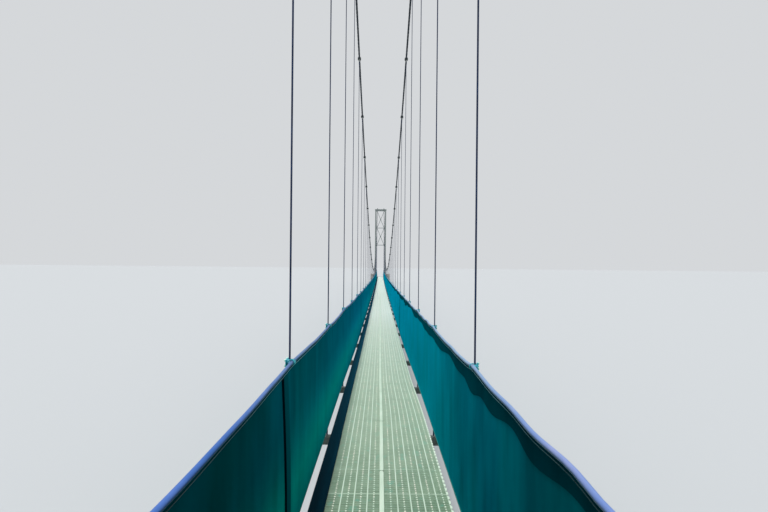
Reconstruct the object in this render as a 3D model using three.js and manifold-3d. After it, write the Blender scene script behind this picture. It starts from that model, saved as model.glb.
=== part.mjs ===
// A rope suspension footbridge with a steel grating deck, drawn at 1:10.
// It runs along Y, with its near end at -Y, and stands on Z = 0.

import * as THREE from "three";
import { mergeVertices } from "three/addons/utils/BufferGeometryUtils.js";
import Module from "manifold-3d";

const wasm = await Module();
wasm.setup();

// One real metre at 1:10, in millimetres. Every length below is a real size times M.
const M = 100;

// Clear space left where one piece is seated on another.
const seat = 0.3;

// Walkway
const halfSpan = 40 * M;
const bay = 2 * M;
const lastHanger = 36 * M;
const lastPost = 38 * M;
const deckEndLevel = 0.9 * M;
const deckSag = 0.28 * M;
const deckHalfWidth = 0.5 * M;
const gratingDepth = 0.03 * M;
const deckOverrun = 0.05 * M;

// Frame under the grating
const stringerDepth = 0.08 * M;
const stringerWidth = 0.05 * M;
const stringerPlaces = [-0.44 * M, 0, 0.44 * M];
const crossBeamHalfLength = 0.62 * M;
const crossBeamWidth = 0.08 * M;

// Flat strips laid on the grating
const centreStripWidth = 0.025 * M;
const centreStripDepth = 0.006 * M;
const edgeStripWidth = 0.1 * M;
const edgeStripDepth = 0.008 * M;

// Handrail cables, hangers and their clamps
const railHeight = 1.145 * M;
const railPlace = 0.554 * M;
const railRadius = 0.012 * M;
const railSag = 0.012 * M;
const railSteps = [0, 0.5];
const hangerPlace = 0.569 * M;
const hangerRadius = 0.006 * M;
const postRadius = 0.02 * M;
const postPlace = 0.583 * M;
const clampHalf = 0.017 * M;
const clampReach = 0.045 * M;
const clampLength = 0.05 * M;

// Screens of net
const netPlace = 0.556 * M;
const netThickness = 0.008 * M;
const netTopDrop = 0.021 * M;
const netBottomDrop = 0.01 * M;

// Main cables
const cableRadius = 0.022 * M;
const cableLowPoint = 1.5 * M;
const cableAtTower = 12.22 * M;
const cableClampHalf = 0.03 * M;
const cableClampDepth = 0.05 * M;

// Towers
const legPlace = 0.86 * M;
const legWidth = 0.24 * M;
const basePlateWidth = 0.4 * M;
const basePlateDepth = 0.03 * M;
const topBeamHalfLength = 1.02 * M;
const topBeamDepth = 0.26 * M;
const topBeamWidth = 0.3 * M;
const saddleDepth = 0.14 * M;
const saddleHalfLength = 0.14 * M;
const saddleHalfWidth = 0.06 * M;
const saddleCheek = 0.02 * M;
const saddleDrop = 0.035 * M;
const portalHeight = 5.6 * M;
const braceWidth = 0.1 * M;
const diagonalWidth = 0.08 * M;
const bracePanels = 2;

// Abutments under the towers and the deck's ends
const footingLevel = 0.6 * M;
const footingHalfWidth = 1.2 * M;
const footingInner = halfSpan - 0.5 * M;
const footingOuter = halfSpan + 1.6 * M;
const landingHalfWidth = 0.66 * M;
const deckSeatInner = halfSpan - 0.3 * M;

// Backstays and their anchor blocks
const anchorSpread = 1.3 * M;
const blockInner = halfSpan + 14 * M;
const blockLength = 2.0 * M;
const blockHeight = 1.2 * M;
const blockHalfWidth = 0.7 * M;
const blockLip = 0.2 * M;
const facePlateHalf = 0.22 * M;
const facePlateDepth = 0.04 * M;
const socketLength = 0.5 * M;
const socketRadius = 0.055 * M;

// Where the deck's grating and frame, and the nets, are divided along the bridge.
const deckCuts = [-halfSpan - deckOverrun, -25 * M, -9 * M, 9 * M, 25 * M, halfSpan + deckOverrun];
const netCuts = [-halfSpan + 0.2 * M, -13 * M, 13 * M, halfSpan - 0.2 * M];

const finishes = {
  grating: new THREE.MeshStandardMaterial({ color: 0x9db8a2, roughness: 0.55, metalness: 0.2 }),
  steel: new THREE.MeshStandardMaterial({ color: 0x9aa09f, roughness: 0.5, metalness: 0.8 }),
  cable: new THREE.MeshStandardMaterial({ color: 0x3c4448, roughness: 0.6, metalness: 0.7 }),
  rail: new THREE.MeshStandardMaterial({ color: 0x8b9bd0, roughness: 0.45, metalness: 0.0 }),
  net: new THREE.MeshStandardMaterial({ color: 0x006068, roughness: 0.9, metalness: 0.0 }),
  strip: new THREE.MeshStandardMaterial({ color: 0x06202f, roughness: 0.6, metalness: 0.0 }),
  concrete: new THREE.MeshStandardMaterial({ color: 0x8f8d86, roughness: 0.9, metalness: 0.0 }),
};

const bridge = new THREE.Group();

function place(name, geometry, finish) {
  const mesh = new THREE.Mesh(geometry, finish);
  mesh.name = name;
  bridge.add(mesh);
}

// Top of the grating: a parabola that is lowest at mid-span.
function deckLevel(y) {
  const fraction = y / halfSpan;
  return deckEndLevel - deckSag * (1 - fraction * fraction);
}

// Centre of the main cable between the towers: a parabola.
function cableLevel(y) {
  const fraction = y / halfSpan;
  return deckEndLevel + cableLowPoint + (cableAtTower - cableLowPoint) * fraction * fraction;
}

// Underside of the main cable, which is thicker upwards where it slopes.
function cableUnderside(y) {
  const slope = (2 * (cableAtTower - cableLowPoint) * y) / (halfSpan * halfSpan);
  return cableLevel(y) - cableRadius * Math.hypot(1, slope);
}

// Centre of the handrail cable: it hangs a little between its supports.
function railLevel(y) {
  const along = (y + halfSpan) / bay;
  const part = along - Math.floor(along);
  return deckLevel(y) + railHeight - railSag * 4 * part * (1 - part);
}

// Places along Y from one cut to the next, with each multiple of step between them.
function stations(from, to, step) {
  const list = [from];
  for (let y = Math.ceil(from / step) * step; y < to; y += step) {
    if (y > from) list.push(y);
  }
  list.push(to);
  return list;
}

// Places along a handrail: each support, and the low point between two.
function railStations(from, to) {
  const list = [from];
  for (let start = -halfSpan; start < halfSpan; start += bay) {
    for (const step of railSteps) {
      const y = start + step * bay;
      if (y > from && y < to) list.push(y);
    }
  }
  list.push(to);
  return list;
}

function solidOf(geometry) {
  const bare = geometry.index ? geometry.toNonIndexed() : geometry.clone();
  bare.deleteAttribute("normal");
  bare.deleteAttribute("uv");
  const merged = mergeVertices(bare);
  const vertProperties = merged.attributes.position.array;
  const triVerts = new Uint32Array(merged.index.array);
  return new wasm.Manifold(new wasm.Mesh({ numProp: 3, vertProperties, triVerts }));
}

function geometryOf(solid) {
  const mesh = solid.getMesh();
  const geometry = new THREE.BufferGeometry();
  geometry.setAttribute("position", new THREE.BufferAttribute(mesh.vertProperties, 3));
  geometry.setIndex(new THREE.BufferAttribute(mesh.triVerts, 1));
  geometry.computeVertexNormals();
  return geometry;
}

function joined(geometries) {
  const solids = geometries.map(solidOf);
  return geometryOf(solids.reduce((whole, next) => whole.add(next)));
}

function block(x0, x1, y0, y1, z0, z1) {
  const geometry = new THREE.BoxGeometry(x1 - x0, y1 - y0, z1 - z0);
  geometry.translate((x0 + x1) / 2, (y0 + y1) / 2, (z0 + z1) / 2);
  return geometry;
}

// An outline in the upright plane along the bridge, as [y, z] points, given its width in X.
function sidePlate(outline, x0, x1) {
  const shape = new THREE.Shape(outline.map(([y, z]) => new THREE.Vector2(y, z)));
  const geometry = new THREE.ExtrudeGeometry(shape, { depth: x1 - x0, bevelEnabled: false });
  const upright = new THREE.Matrix4().makeBasis(
    new THREE.Vector3(0, 1, 0),
    new THREE.Vector3(0, 0, 1),
    new THREE.Vector3(1, 0, 0),
  );
  geometry.applyMatrix4(upright);
  geometry.translate(x0, 0, 0);
  return geometry;
}

// A band along the bridge between two levels, each a function of y.
function band(x0, x1, places, lower, upper) {
  const below = places.map((y) => [y, lower(y)]);
  const above = places.map((y) => [y, upper(y)]).reverse();
  return sidePlate([...below, ...above], x0, x1);
}

// A path that passes through its points, with one ring of the tube at each of them.
class PointPath extends THREE.Curve {
  constructor(points) {
    super();
    this.points = points;
  }

  getPoint(t, target = new THREE.Vector3()) {
    const last = this.points.length - 1;
    const along = t * last;
    const i = Math.min(Math.floor(along), last - 1);
    return target.lerpVectors(this.points[i], this.points[i + 1], along - i);
  }

  getPointAt(u, target) {
    return this.getPoint(u, target);
  }

  getTangentAt(u, target = new THREE.Vector3()) {
    const last = this.points.length - 1;
    const i = Math.round(u * last);
    const before = this.points[Math.max(i - 1, 0)];
    const after = this.points[Math.min(i + 1, last)];
    return target.subVectors(after, before).normalize();
  }
}

function tube(points, radius, sides) {
  const corners = [];
  for (let i = 0; i < sides; i += 1) {
    const angle = ((i + 0.5) / sides) * 2 * Math.PI;
    corners.push(new THREE.Vector2(radius * Math.cos(angle), radius * Math.sin(angle)));
  }
  return new THREE.ExtrudeGeometry(new THREE.Shape(corners), {
    steps: points.length - 1,
    bevelEnabled: false,
    extrudePath: new PointPath(points),
  });
}

function rod(x, y, z0, z1, radius) {
  return tube([new THREE.Vector3(x, y, z0), new THREE.Vector3(x, y, z1)], radius, 5);
}

// Cross beams lie where a hanger, a post or an abutment carries them.
function crossBeamPlaces() {
  const list = [];
  for (let y = -halfSpan; y <= halfSpan; y += bay) list.push(y);
  return list;
}

function hangerPlaces() {
  return crossBeamPlaces().filter((y) => Math.abs(y) <= lastHanger);
}

// Grating panels, each bent to the line of the deck.
function makeGrating() {
  for (let i = 0; i + 1 < deckCuts.length; i += 1) {
    const places = stations(deckCuts[i], deckCuts[i + 1] - seat, bay);
    const geometry = band(
      -deckHalfWidth,
      deckHalfWidth,
      places,
      (y) => deckLevel(y) - gratingDepth,
      deckLevel,
    );
    place(`deck_grating_${i + 1}`, geometry, finishes.grating);
  }
}

// Stringers and cross beams under the grating, as a ladder.
function makeDeckFrames() {
  const top = (y) => deckLevel(y) - gratingDepth - seat;
  const bottom = (y) => top(y) - stringerDepth;
  for (let i = 0; i + 1 < deckCuts.length; i += 1) {
    const from = deckCuts[i];
    const to = deckCuts[i + 1] - seat;
    const places = stations(from, to, bay);
    const bars = stringerPlaces.map((x) =>
      band(x - stringerWidth / 2, x + stringerWidth / 2, places, bottom, top),
    );
    for (const y of crossBeamPlaces()) {
      const y0 = y - crossBeamWidth / 2;
      const y1 = y + crossBeamWidth / 2;
      if (y0 < from || y1 > to) continue;
      const z1 = Math.min(top(y0), top(y), top(y1));
      bars.push(block(-crossBeamHalfLength, crossBeamHalfLength, y0, y1, z1 - stringerDepth, z1));
    }
    place(`deck_frame_${i + 1}`, joined(bars), finishes.steel);
  }
}

// The pale strip down the middle and the dark strip along the left edge.
function makeStrips() {
  const places = stations(deckCuts[0], deckCuts[deckCuts.length - 1], bay);
  const onDeck = (y) => deckLevel(y) + seat;
  const centre = band(
    -centreStripWidth / 2,
    centreStripWidth / 2,
    places,
    onDeck,
    (y) => onDeck(y) + centreStripDepth,
  );
  const edge = band(
    -deckHalfWidth,
    edgeStripWidth - deckHalfWidth,
    places,
    onDeck,
    (y) => onDeck(y) + edgeStripDepth,
  );
  place("centre_strip", centre, finishes.grating);
  place("left_edge_strip", edge, finishes.strip);
}

// A handrail cable with its hangers, end posts and clamps, which grip it at every bay.
function makeHandrail(name, side) {
  const rail = railStations(-halfSpan, halfSpan).map(
    (y) => new THREE.Vector3(side * railPlace, y, railLevel(y)),
  );
  const pieces = [tube(rail, railRadius, 6)];
  const beamTop = (y) => deckLevel(y) - gratingDepth;
  for (const y of hangerPlaces()) {
    const clampFoot = cableUnderside(y) - cableClampDepth;
    pieces.push(rod(side * hangerPlace, y, beamTop(y), clampFoot + hangerRadius, hangerRadius));
    const clampX = side * hangerPlace;
    const outline = [
      [y - cableClampHalf, clampFoot],
      [y + cableClampHalf, clampFoot],
      [y + cableClampHalf, cableUnderside(y + cableClampHalf) - seat],
      [y - cableClampHalf, cableUnderside(y - cableClampHalf) - seat],
    ];
    pieces.push(sidePlate(outline, clampX - cableClampHalf, clampX + cableClampHalf));
  }
  for (const end of [-1, 1]) {
    const y = end * lastPost;
    pieces.push(rod(side * postPlace, y, beamTop(y), railLevel(y), postRadius));
    const legFace = legPlace - legWidth / 2 - seat;
    const inner = Math.min(side * railPlace, side * legFace);
    const outer = Math.max(side * railPlace, side * legFace);
    const endY = end * (halfSpan - clampHalf);
    const z = railLevel(end * halfSpan);
    const link = block(inner, outer, endY - clampHalf, endY + clampHalf, z - clampHalf, z + clampHalf);
    pieces.push(link);
  }
  for (const y of crossBeamPlaces()) {
    if (Math.abs(y) > lastPost) continue;
    const z = railLevel(y);
    const inner = Math.min(side * (railPlace - clampHalf), side * (railPlace + clampReach));
    const outer = Math.max(side * (railPlace - clampHalf), side * (railPlace + clampReach));
    const half = clampLength / 2;
    pieces.push(block(inner, outer, y - half, y + half, z - clampHalf, z + clampHalf));
  }
  place(name, joined(pieces), finishes.rail);
}

// Screens of net, hung just under the handrail down to the deck.
function makeNets(name, side) {
  const x0 = side * netPlace - netThickness / 2;
  for (let i = 0; i + 1 < netCuts.length; i += 1) {
    const geometry = band(
      x0,
      x0 + netThickness,
      railStations(netCuts[i], netCuts[i + 1] - seat),
      (y) => deckLevel(y) - netBottomDrop,
      (y) => railLevel(y) - netTopDrop,
    );
    place(`${name}_${i + 1}`, geometry, finishes.net);
  }
}

// Half of a backstay's line, from the tower's saddle down to the face of its anchor block.
const saddleTop = new THREE.Vector3(hangerPlace, halfSpan, cableLevel(halfSpan));
const faceSlope = Math.atan2(cableLevel(halfSpan) - blockHeight / 2, blockInner - halfSpan);
const faceRun = (blockHeight - blockLip) * Math.tan(faceSlope);
const faceMiddle = new THREE.Vector3(
  anchorSpread,
  blockInner + faceRun / 2,
  (blockHeight + blockLip) / 2,
);
const stayLine = new THREE.Vector3().subVectors(faceMiddle, saddleTop).normalize();
const stayLength = saddleTop.distanceTo(faceMiddle);
const staySaddle = saddleTop.clone().addScaledVector(stayLine, saddleHalfLength);

function turned(point, side, end) {
  return new THREE.Vector3(side * point.x, end * point.y, point.z);
}

// A main cable from one anchor over both towers to the other anchor.
function makeMainCable(name, side) {
  const stayEnd = saddleTop.clone().addScaledVector(stayLine, stayLength - socketLength - seat);
  const crown = saddleTop.clone();
  crown.z -= saddleDrop / 2;
  const half = [stayEnd, staySaddle, crown];
  const points = half.map((point) => turned(point, side, -1));
  points.push(new THREE.Vector3(side * hangerPlace, -halfSpan + saddleHalfLength, 0));
  points[points.length - 1].z = cableLevel(halfSpan - saddleHalfLength);
  for (const y of hangerPlaces()) {
    points.push(new THREE.Vector3(side * hangerPlace, y, cableLevel(y)));
  }
  points.push(new THREE.Vector3(side * hangerPlace, halfSpan - saddleHalfLength, 0));
  points[points.length - 1].z = cableLevel(halfSpan - saddleHalfLength);
  points.push(...half.reverse().map((point) => turned(point, side, 1)));
  place(name, tube(points, cableRadius, 8), finishes.cable);
}

// A portal tower: two legs, a top beam, a braced panel above the way through, and two saddles.
function makeTower(name, end) {
  const y = end * halfSpan;
  const legTop = saddleTop.z - cableRadius - saddleDepth - topBeamDepth;
  for (const [label, side] of [["left", -1], ["right", 1]]) {
    const x = side * legPlace;
    const half = legWidth / 2;
    const foot = basePlateWidth / 2;
    const ground = footingLevel + seat;
    const leg = joined([
      block(x - half, x + half, y - half, y + half, ground, legTop),
      block(x - foot, x + foot, y - foot, y + foot, ground, ground + basePlateDepth),
    ]);
    place(`${name}_tower_${label}_leg`, leg, finishes.steel);
    makeSaddle(`${name}_saddle_${label}`, side, end, legTop + topBeamDepth + 2 * seat);
  }
  const beam = block(
    -topBeamHalfLength,
    topBeamHalfLength,
    y - topBeamWidth / 2,
    y + topBeamWidth / 2,
    legTop + seat,
    legTop + seat + topBeamDepth,
  );
  place(`${name}_tower_top_beam`, beam, finishes.steel);
  place(`${name}_tower_bracing`, towerBracing(y, legTop), finishes.steel);
}

// Level rails between the legs, with a cross of diagonals in each panel between them.
function towerBracing(y, legTop) {
  const reach = legPlace - legWidth / 2 - seat;
  const half = braceWidth / 2;
  const lowest = deckEndLevel + portalHeight;
  const rise = (legTop - seat - braceWidth - lowest) / bracePanels;
  const bars = [];
  for (let i = 0; i <= bracePanels; i += 1) {
    const z = lowest + i * rise;
    bars.push(block(-reach, reach, y - half, y + half, z, z + braceWidth));
    if (i === bracePanels) continue;
    const run = 2 * (reach - braceWidth);
    const slope = Math.atan2(rise, run);
    for (const lean of [-1, 1]) {
      const bar = new THREE.BoxGeometry(Math.hypot(run, rise), diagonalWidth, diagonalWidth);
      bar.rotateY(lean * slope);
      bar.translate(0, y, z + half + rise / 2);
      bars.push(bar);
    }
  }
  return joined(bars);
}

// A saddle casting on the top beam: a bed that follows the cable over it, between two cheeks.
function makeSaddle(name, side, end, level) {
  const x = side * hangerPlace;
  const inner = halfSpan - saddleHalfLength;
  const crownBed = saddleTop.z - saddleDrop / 2 - cableRadius - seat;
  const outerBed = staySaddle.z - cableRadius / Math.cos(faceSlope) - seat;
  const outline = [
    [inner, level],
    [staySaddle.y, level],
    [staySaddle.y, outerBed],
    [halfSpan, crownBed],
    [inner, cableUnderside(inner) - seat],
  ];
  const body = sidePlate(
    outline.map(([y, z]) => [end * y, z]),
    x - saddleHalfWidth,
    x + saddleHalfWidth,
  );
  const half = saddleHalfLength / 2;
  const y0 = end * halfSpan - half;
  const y1 = end * halfSpan + half;
  const thick = saddleCheek;
  const leftCheek = block(x - saddleHalfWidth, x - saddleHalfWidth + thick, y0, y1, level, saddleTop.z);
  const rightCheek = block(x + saddleHalfWidth - thick, x + saddleHalfWidth, y0, y1, level, saddleTop.z);
  place(name, joined([body, leftCheek, rightCheek]), finishes.steel);
}

// Footing for both legs, a seat for the deck's end, and a landing at the deck's level.
function makeAbutment(name, end) {
  const seatLevel = deckLevel(deckSeatInner) - gratingDepth - stringerDepth - 2 * seat;
  const landingStart = halfSpan + deckOverrun + seat;
  const along = (a, b) => [Math.min(end * a, end * b), Math.max(end * a, end * b)];
  const [f0, f1] = along(footingInner, footingOuter);
  const [s0, s1] = along(deckSeatInner, footingOuter);
  const [l0, l1] = along(landingStart, footingOuter);
  const geometry = joined([
    block(-footingHalfWidth, footingHalfWidth, f0, f1, 0, footingLevel),
    block(-landingHalfWidth, landingHalfWidth, s0, s1, 0, seatLevel),
    block(-landingHalfWidth, landingHalfWidth, l0, l1, 0, deckEndLevel),
  ]);
  place(name, geometry, finishes.concrete);
}

// A block with a sloping face, square to the backstay that it holds.
function makeAnchor(name, side, end) {
  const outline = [
    [blockInner, 0],
    [blockInner + blockLength, 0],
    [blockInner + blockLength, blockHeight],
    [blockInner + faceRun, blockHeight],
    [blockInner, blockLip],
  ];
  const x = side * anchorSpread;
  const body = sidePlate(outline.map(([y, z]) => [end * y, z]), x - blockHalfWidth, x + blockHalfWidth);
  place(`${name}_anchor_block`, body, finishes.concrete);

  const plate = new THREE.BoxGeometry(2 * facePlateHalf, 2 * facePlateHalf, facePlateDepth);
  const upFace = new THREE.Vector3(0, faceRun, blockHeight - blockLip).normalize();
  const acrossFace = new THREE.Vector3(1, 0, 0);
  const outOfFace = new THREE.Vector3().crossVectors(acrossFace, upFace);
  const onFace = new THREE.Matrix4().makeBasis(acrossFace, upFace, outOfFace);
  plate.applyMatrix4(onFace);
  plate.translate(
    faceMiddle.x + outOfFace.x * (facePlateDepth / 2 + seat),
    faceMiddle.y + outOfFace.y * (facePlateDepth / 2 + seat),
    faceMiddle.z + outOfFace.z * (facePlateDepth / 2 + seat),
  );
  const foot = faceMiddle.clone().addScaledVector(stayLine, -facePlateDepth / 2 - seat);
  const tip = faceMiddle.clone().addScaledVector(stayLine, -socketLength);
  const socket = joined([plate, tube([foot, tip], socketRadius, 8)]);
  if (side < 0 || end < 0) {
    socket.applyMatrix4(new THREE.Matrix4().makeScale(side, end, 1));
  }
  place(`${name}_anchor_socket`, side * end < 0 ? flipped(socket) : socket, finishes.steel);
}

// A mirrored shape has its faces turned back to point outwards.
function flipped(geometry) {
  const index = geometry.index;
  for (let i = 0; i < index.count; i += 3) {
    const second = index.getX(i + 1);
    index.setX(i + 1, index.getX(i + 2));
    index.setX(i + 2, second);
  }
  return geometry;
}

makeGrating();
makeDeckFrames();
makeStrips();
for (const [label, side] of [["left", -1], ["right", 1]]) {
  makeHandrail(`${label}_handrail_and_hangers`, side);
  makeNets(`${label}_net_screen`, side);
  makeMainCable(`${label}_main_cable`, side);
}
for (const [label, end] of [["near", -1], ["far", 1]]) {
  makeTower(label, end);
  makeAbutment(`${label}_abutment`, end);
  makeAnchor(`${label}_left`, -1, end);
  makeAnchor(`${label}_right`, 1, end);
}

export default bridge;
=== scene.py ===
# %% [markdown]
# # A rope suspension footbridge
#
# The bridge hangs from two wire ropes that pass over a portal tower at each end. Thin
# hangers come down from them every two metres and carry cross beams, and a narrow deck of
# steel grating lies on those. Two handrail ropes run beside the deck, with a screen of
# teal net laced under each of them.
#
# The CAD model is a 1:10 scale model of about eighty metres of bridge. It fixes where
# everything is. This lesson dresses it: each step says what a piece is on the real bridge,
# how it could be made in Blender, and why it is made this way here.

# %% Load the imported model
import math

import bpy
import numpy as np
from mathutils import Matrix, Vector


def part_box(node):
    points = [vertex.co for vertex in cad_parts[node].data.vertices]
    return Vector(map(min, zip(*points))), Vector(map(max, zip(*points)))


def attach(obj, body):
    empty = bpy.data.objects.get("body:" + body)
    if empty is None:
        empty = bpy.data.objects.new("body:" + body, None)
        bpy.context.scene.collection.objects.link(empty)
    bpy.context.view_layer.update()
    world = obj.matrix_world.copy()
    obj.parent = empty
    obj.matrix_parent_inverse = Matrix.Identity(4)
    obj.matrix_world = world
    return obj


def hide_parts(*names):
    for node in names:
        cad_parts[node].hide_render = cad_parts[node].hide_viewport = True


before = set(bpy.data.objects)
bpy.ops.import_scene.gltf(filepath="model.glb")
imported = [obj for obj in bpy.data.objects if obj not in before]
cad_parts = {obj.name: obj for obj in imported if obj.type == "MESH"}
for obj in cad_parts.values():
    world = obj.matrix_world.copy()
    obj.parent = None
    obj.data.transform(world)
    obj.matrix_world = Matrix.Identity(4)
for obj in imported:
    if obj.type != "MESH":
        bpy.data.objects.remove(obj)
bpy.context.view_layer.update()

# %% [markdown]
# ## Sizes
#
# Real sizes are easier to check against a real bridge than model sizes. So every length is
# written in real metres or millimetres and multiplied by its length in the model. The
# span is half on either side of Y = 0, and a bay is the length between two hangers. X runs
# across the deck to the right, Y along it to the far end, and Z up.

# %% Real lengths in the model's metres
metre = 0.1
mm = 0.001 * metre

half_span = 40 * metre
bay = 2 * metre
print("one real metre is", metre, "m of model, and the span is", 2 * half_span, "m of model")

# %% [markdown]
# ## The lines of the bridge
#
# The deck and the main ropes hang in parabolas, because a rope that carries an even load
# takes that shape. A parabola needs only two sizes: its level at one place, and how much
# it rises or falls from there.

# %% Curves of the deck and the main ropes
deck_end_level = 0.90 * metre
deck_sag = 0.28 * metre
rope_low_point = 2.40 * metre
rope_rise = 10.72 * metre


def deck_level(y):
    """Top of the grating: its level at the ends, less a sag that fades as the square of y."""
    return deck_end_level - deck_sag * (1 - (y / half_span) ** 2)


def cable_level(y):
    """Centre of a main rope: its low point, plus a rise that grows as the square of y."""
    return rope_low_point + rope_rise * (y / half_span) ** 2


print("deck at mid-span:", round(deck_level(0), 4), "m")
print("main ropes at the towers:", round(cable_level(half_span), 4), "m")

# %% [markdown]
# ## The line of a handrail
#
# Each handrail rope follows the deck and sags a little between one hanger and the next,
# and its stiff sheath lies in small bends. Those were measured over the nearest four
# metres, and repeat. They are kept as turning points, with half a cosine from each to the
# next, because that curve is round at every point and never swings past one.

# %% Curve of the handrails
rail_height = 1145 * mm
rail_sag = 12 * mm
last_hanger = 36 * metre
last_support = 38 * metre
bends_length = 4

# For the left side (-1) and the right (1): metres past the first support, millimetres up.
rail_turns = {
    -1: np.array([(0, -2), (0.4, -8), (1.0, 0), (1.55, 9), (2.0, 13), (2.6, 11), (3.1, 3), (4.0, -2)]),
    1: np.array(
        [(0, -6), (0.39, -12), (0.6, 3), (0.94, -13), (1.2, -4), (1.52, -11), (1.97, -1), (2.2, -12)]
        + [(2.56, -14), (2.77, -8), (3.14, -14), (3.72, -13), (4.0, -6)]
    ),
}


def eased_turns(turns, at):
    """A curve through turning points (place, value): half a cosine from each to the next,
    which rounds every one of them."""
    i = np.clip(np.searchsorted(turns[:, 0], at, side="right") - 1, 0, len(turns) - 2)
    start, first, end, second = turns[i, 0], turns[i, 1], turns[i + 1, 0], turns[i + 1, 1]
    share = 0.5 - 0.5 * np.cos(np.pi * np.clip((at - start) / (end - start), 0, 1))
    return first + (second - first) * share


def rail_level(y, side):
    """Centre of a handrail: deck level plus its height, less 4 p (1 - p) sags in each bay,
    plus the small bends of its sheath."""
    part = np.mod((y + half_span) / bay, 1)
    bends = eased_turns(rail_turns[side], np.mod((y + last_support) / metre, bends_length))
    return deck_level(y) + rail_height - rail_sag * 4 * part * (1 - part) + bends * mm


supports = np.arange(-19, 20) * bay
hangers = supports[np.abs(supports) <= last_hanger + 1 * mm]
print("handrail supports:", len(supports), "hangers a side:", len(hangers))

# %% [markdown]
# ## What changes near the landings
#
# Near each end of the bridge the deck's right half stands out a little, so a joint opens
# under the strip in the middle, and the feet of the nets are drawn up. Both grow from
# nothing at one place to their full size at another, with half a cosine between them.

# %% Changes near the landings
joint_start, joint_full = 31.3 * metre, 33.5 * metre
joint_width = 28 * mm
foot_start, foot_full = 28 * metre, 33 * metre
foot_drop = 10 * mm
foot_lift = 85 * mm


def towards_landing(y, start, full):
    """How near a place is to a landing: 0 where |y| is start, 1 where it is full, and half
    a cosine between them."""
    return 0.5 - 0.5 * np.cos(np.pi * np.clip((np.abs(y) - start) / (full - start), 0, 1))


def half_gap(y):
    """Width of the joint between the deck's halves, by which the right half stands out."""
    return joint_width * towards_landing(y, joint_start, joint_full)


def net_foot(y):
    """Level of a screen's foot: just under the deck's top, and lifted at a landing."""
    return deck_level(y) - foot_drop + foot_lift * towards_landing(y, foot_start, foot_full)


print("nets' feet at a landing:", round(net_foot(half_span), 4), "m")

# %% [markdown]
# ## Camera
#
# The photo was taken from the deck, looking along it, with the camera level and at the
# height of the eye. A small lens shift puts the vanishing point a little under the middle
# of the picture without tilting the hangers, and the camera rolls by half a degree.

# %% Camera at the photograph's angle
picture_width = 768
focal_pixels = 441
vanishing_right, vanishing_down = -3.9, 11.3
roll = math.radians(0.54)
eye_level = 1711 * mm
eye_place = -38.71 * metre
eye_side = -19 * mm

camera = bpy.data.objects.new("camera", bpy.data.cameras.new("camera"))
bpy.context.collection.objects.link(camera)
camera.data.sensor_width = 36
camera.data.lens = camera.data.sensor_width * focal_pixels / picture_width
camera.data.shift_x = -vanishing_right / picture_width
camera.data.shift_y = vanishing_down / picture_width
camera.data.clip_start = 0.01
camera.data.clip_end = 200
camera.location = (eye_side, eye_place, deck_level(eye_place) + eye_level)
camera.rotation_euler = (math.pi / 2, -roll, 0)
bpy.context.scene.camera = camera
print("lens", round(camera.data.lens, 2), "mm at", [round(v, 3) for v in camera.location])

# %% [markdown]
# ## Shapes from arrays
#
# A shape here is a pair: its points, and a list of arrays of corner numbers. Both are
# worked out as whole arrays, with no loop over points. Two helpers come first: one numbers
# the corners of a grid of faces, and one turns faces to point outwards by the sign of the
# volume that they enclose.

# %% Faces of a grid, and faces turned outwards


def grid_faces(rows, columns):
    """Four-cornered faces between the rows of a grid, whose columns form a ring."""
    here = np.arange(rows - 1)[:, None] * columns
    there = here + columns
    column = np.arange(columns)[None, :]
    after = (column + 1) % columns
    return np.stack([here + column, here + after, there + after, there + column], -1).reshape(-1, 4)


def turned_out(shape):
    """The shape with its faces outwards: reversed where the sum of p0 . (p1 x p2) over the
    fans of its faces, which is six times its volume, is negative."""
    points, faces = shape
    volume = 0.0
    for corners in faces:
        p = points[corners]
        for k in range(1, corners.shape[1] - 1):
            volume += float((p[:, 0] * np.cross(p[:, k], p[:, k + 1])).sum())
    return points, [c[:, ::-1] for c in faces] if volume < 0 else faces


print("three rings of four points have", len(grid_faces(3, 4)), "faces")

# %% [markdown]
# ## A section carried along a line
#
# Nearly all of a bridge is a section carried along a line: ropes, rails, bars, strips. A
# curve with a bevel could do it. One function on arrays can also change the section's size
# and turn it on the way, which makes collars, sleeves and strands.

# %% A sweep along a path


def sweep(path, profile, scale=1.0, turn=0.0, across=(1, 0, 0)):
    """A profile carried along a path. At each path point the profile's first number goes
    along `across`, made square to the path, and its second along the third direction. It is
    first made `scale` times as large and turned by the angle `turn`. Both ends are closed."""
    path = np.asarray(path, float)
    count = len(path)
    ahead = np.gradient(path, axis=0)
    ahead /= np.linalg.norm(ahead, axis=1, keepdims=True)
    side = np.asarray(across, float) - (ahead @ np.asarray(across, float))[:, None] * ahead
    side /= np.linalg.norm(side, axis=1, keepdims=True)
    up = np.cross(side, ahead)
    flat = np.broadcast_to(profile, (count, *np.shape(profile)[-2:]))
    flat = flat * np.broadcast_to(scale, count)[:, None, None]
    cos, sin = (f(np.broadcast_to(turn, count))[:, None] for f in (np.cos, np.sin))
    first = flat[..., 0] * cos - flat[..., 1] * sin
    second = flat[..., 0] * sin + flat[..., 1] * cos
    points = path[:, None] + first[..., None] * side[:, None] + second[..., None] * up[:, None]
    columns = flat.shape[1]
    ring = np.arange(columns)[None]
    faces = [grid_faces(count, columns), ring[:, ::-1], ring + (count - 1) * columns]
    return turned_out((points.reshape(-1, 3), faces))


square = [(1, 1), (-1, 1), (-1, -1), (1, -1)]
print("a square carried between two places has", len(sweep([(0, 0, 0), (0, 9, 0)], square)[0]), "points")

# %% [markdown]
# ### Sections
#
# Most sections on a bridge are circles and rectangles. The edges of rolled steel are never
# quite sharp, and catch a thin line of light, so the corners of a rectangle may be rounded.
# A rope of strands is a circle with lobes.

# %% Circles, oblongs and bars


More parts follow.
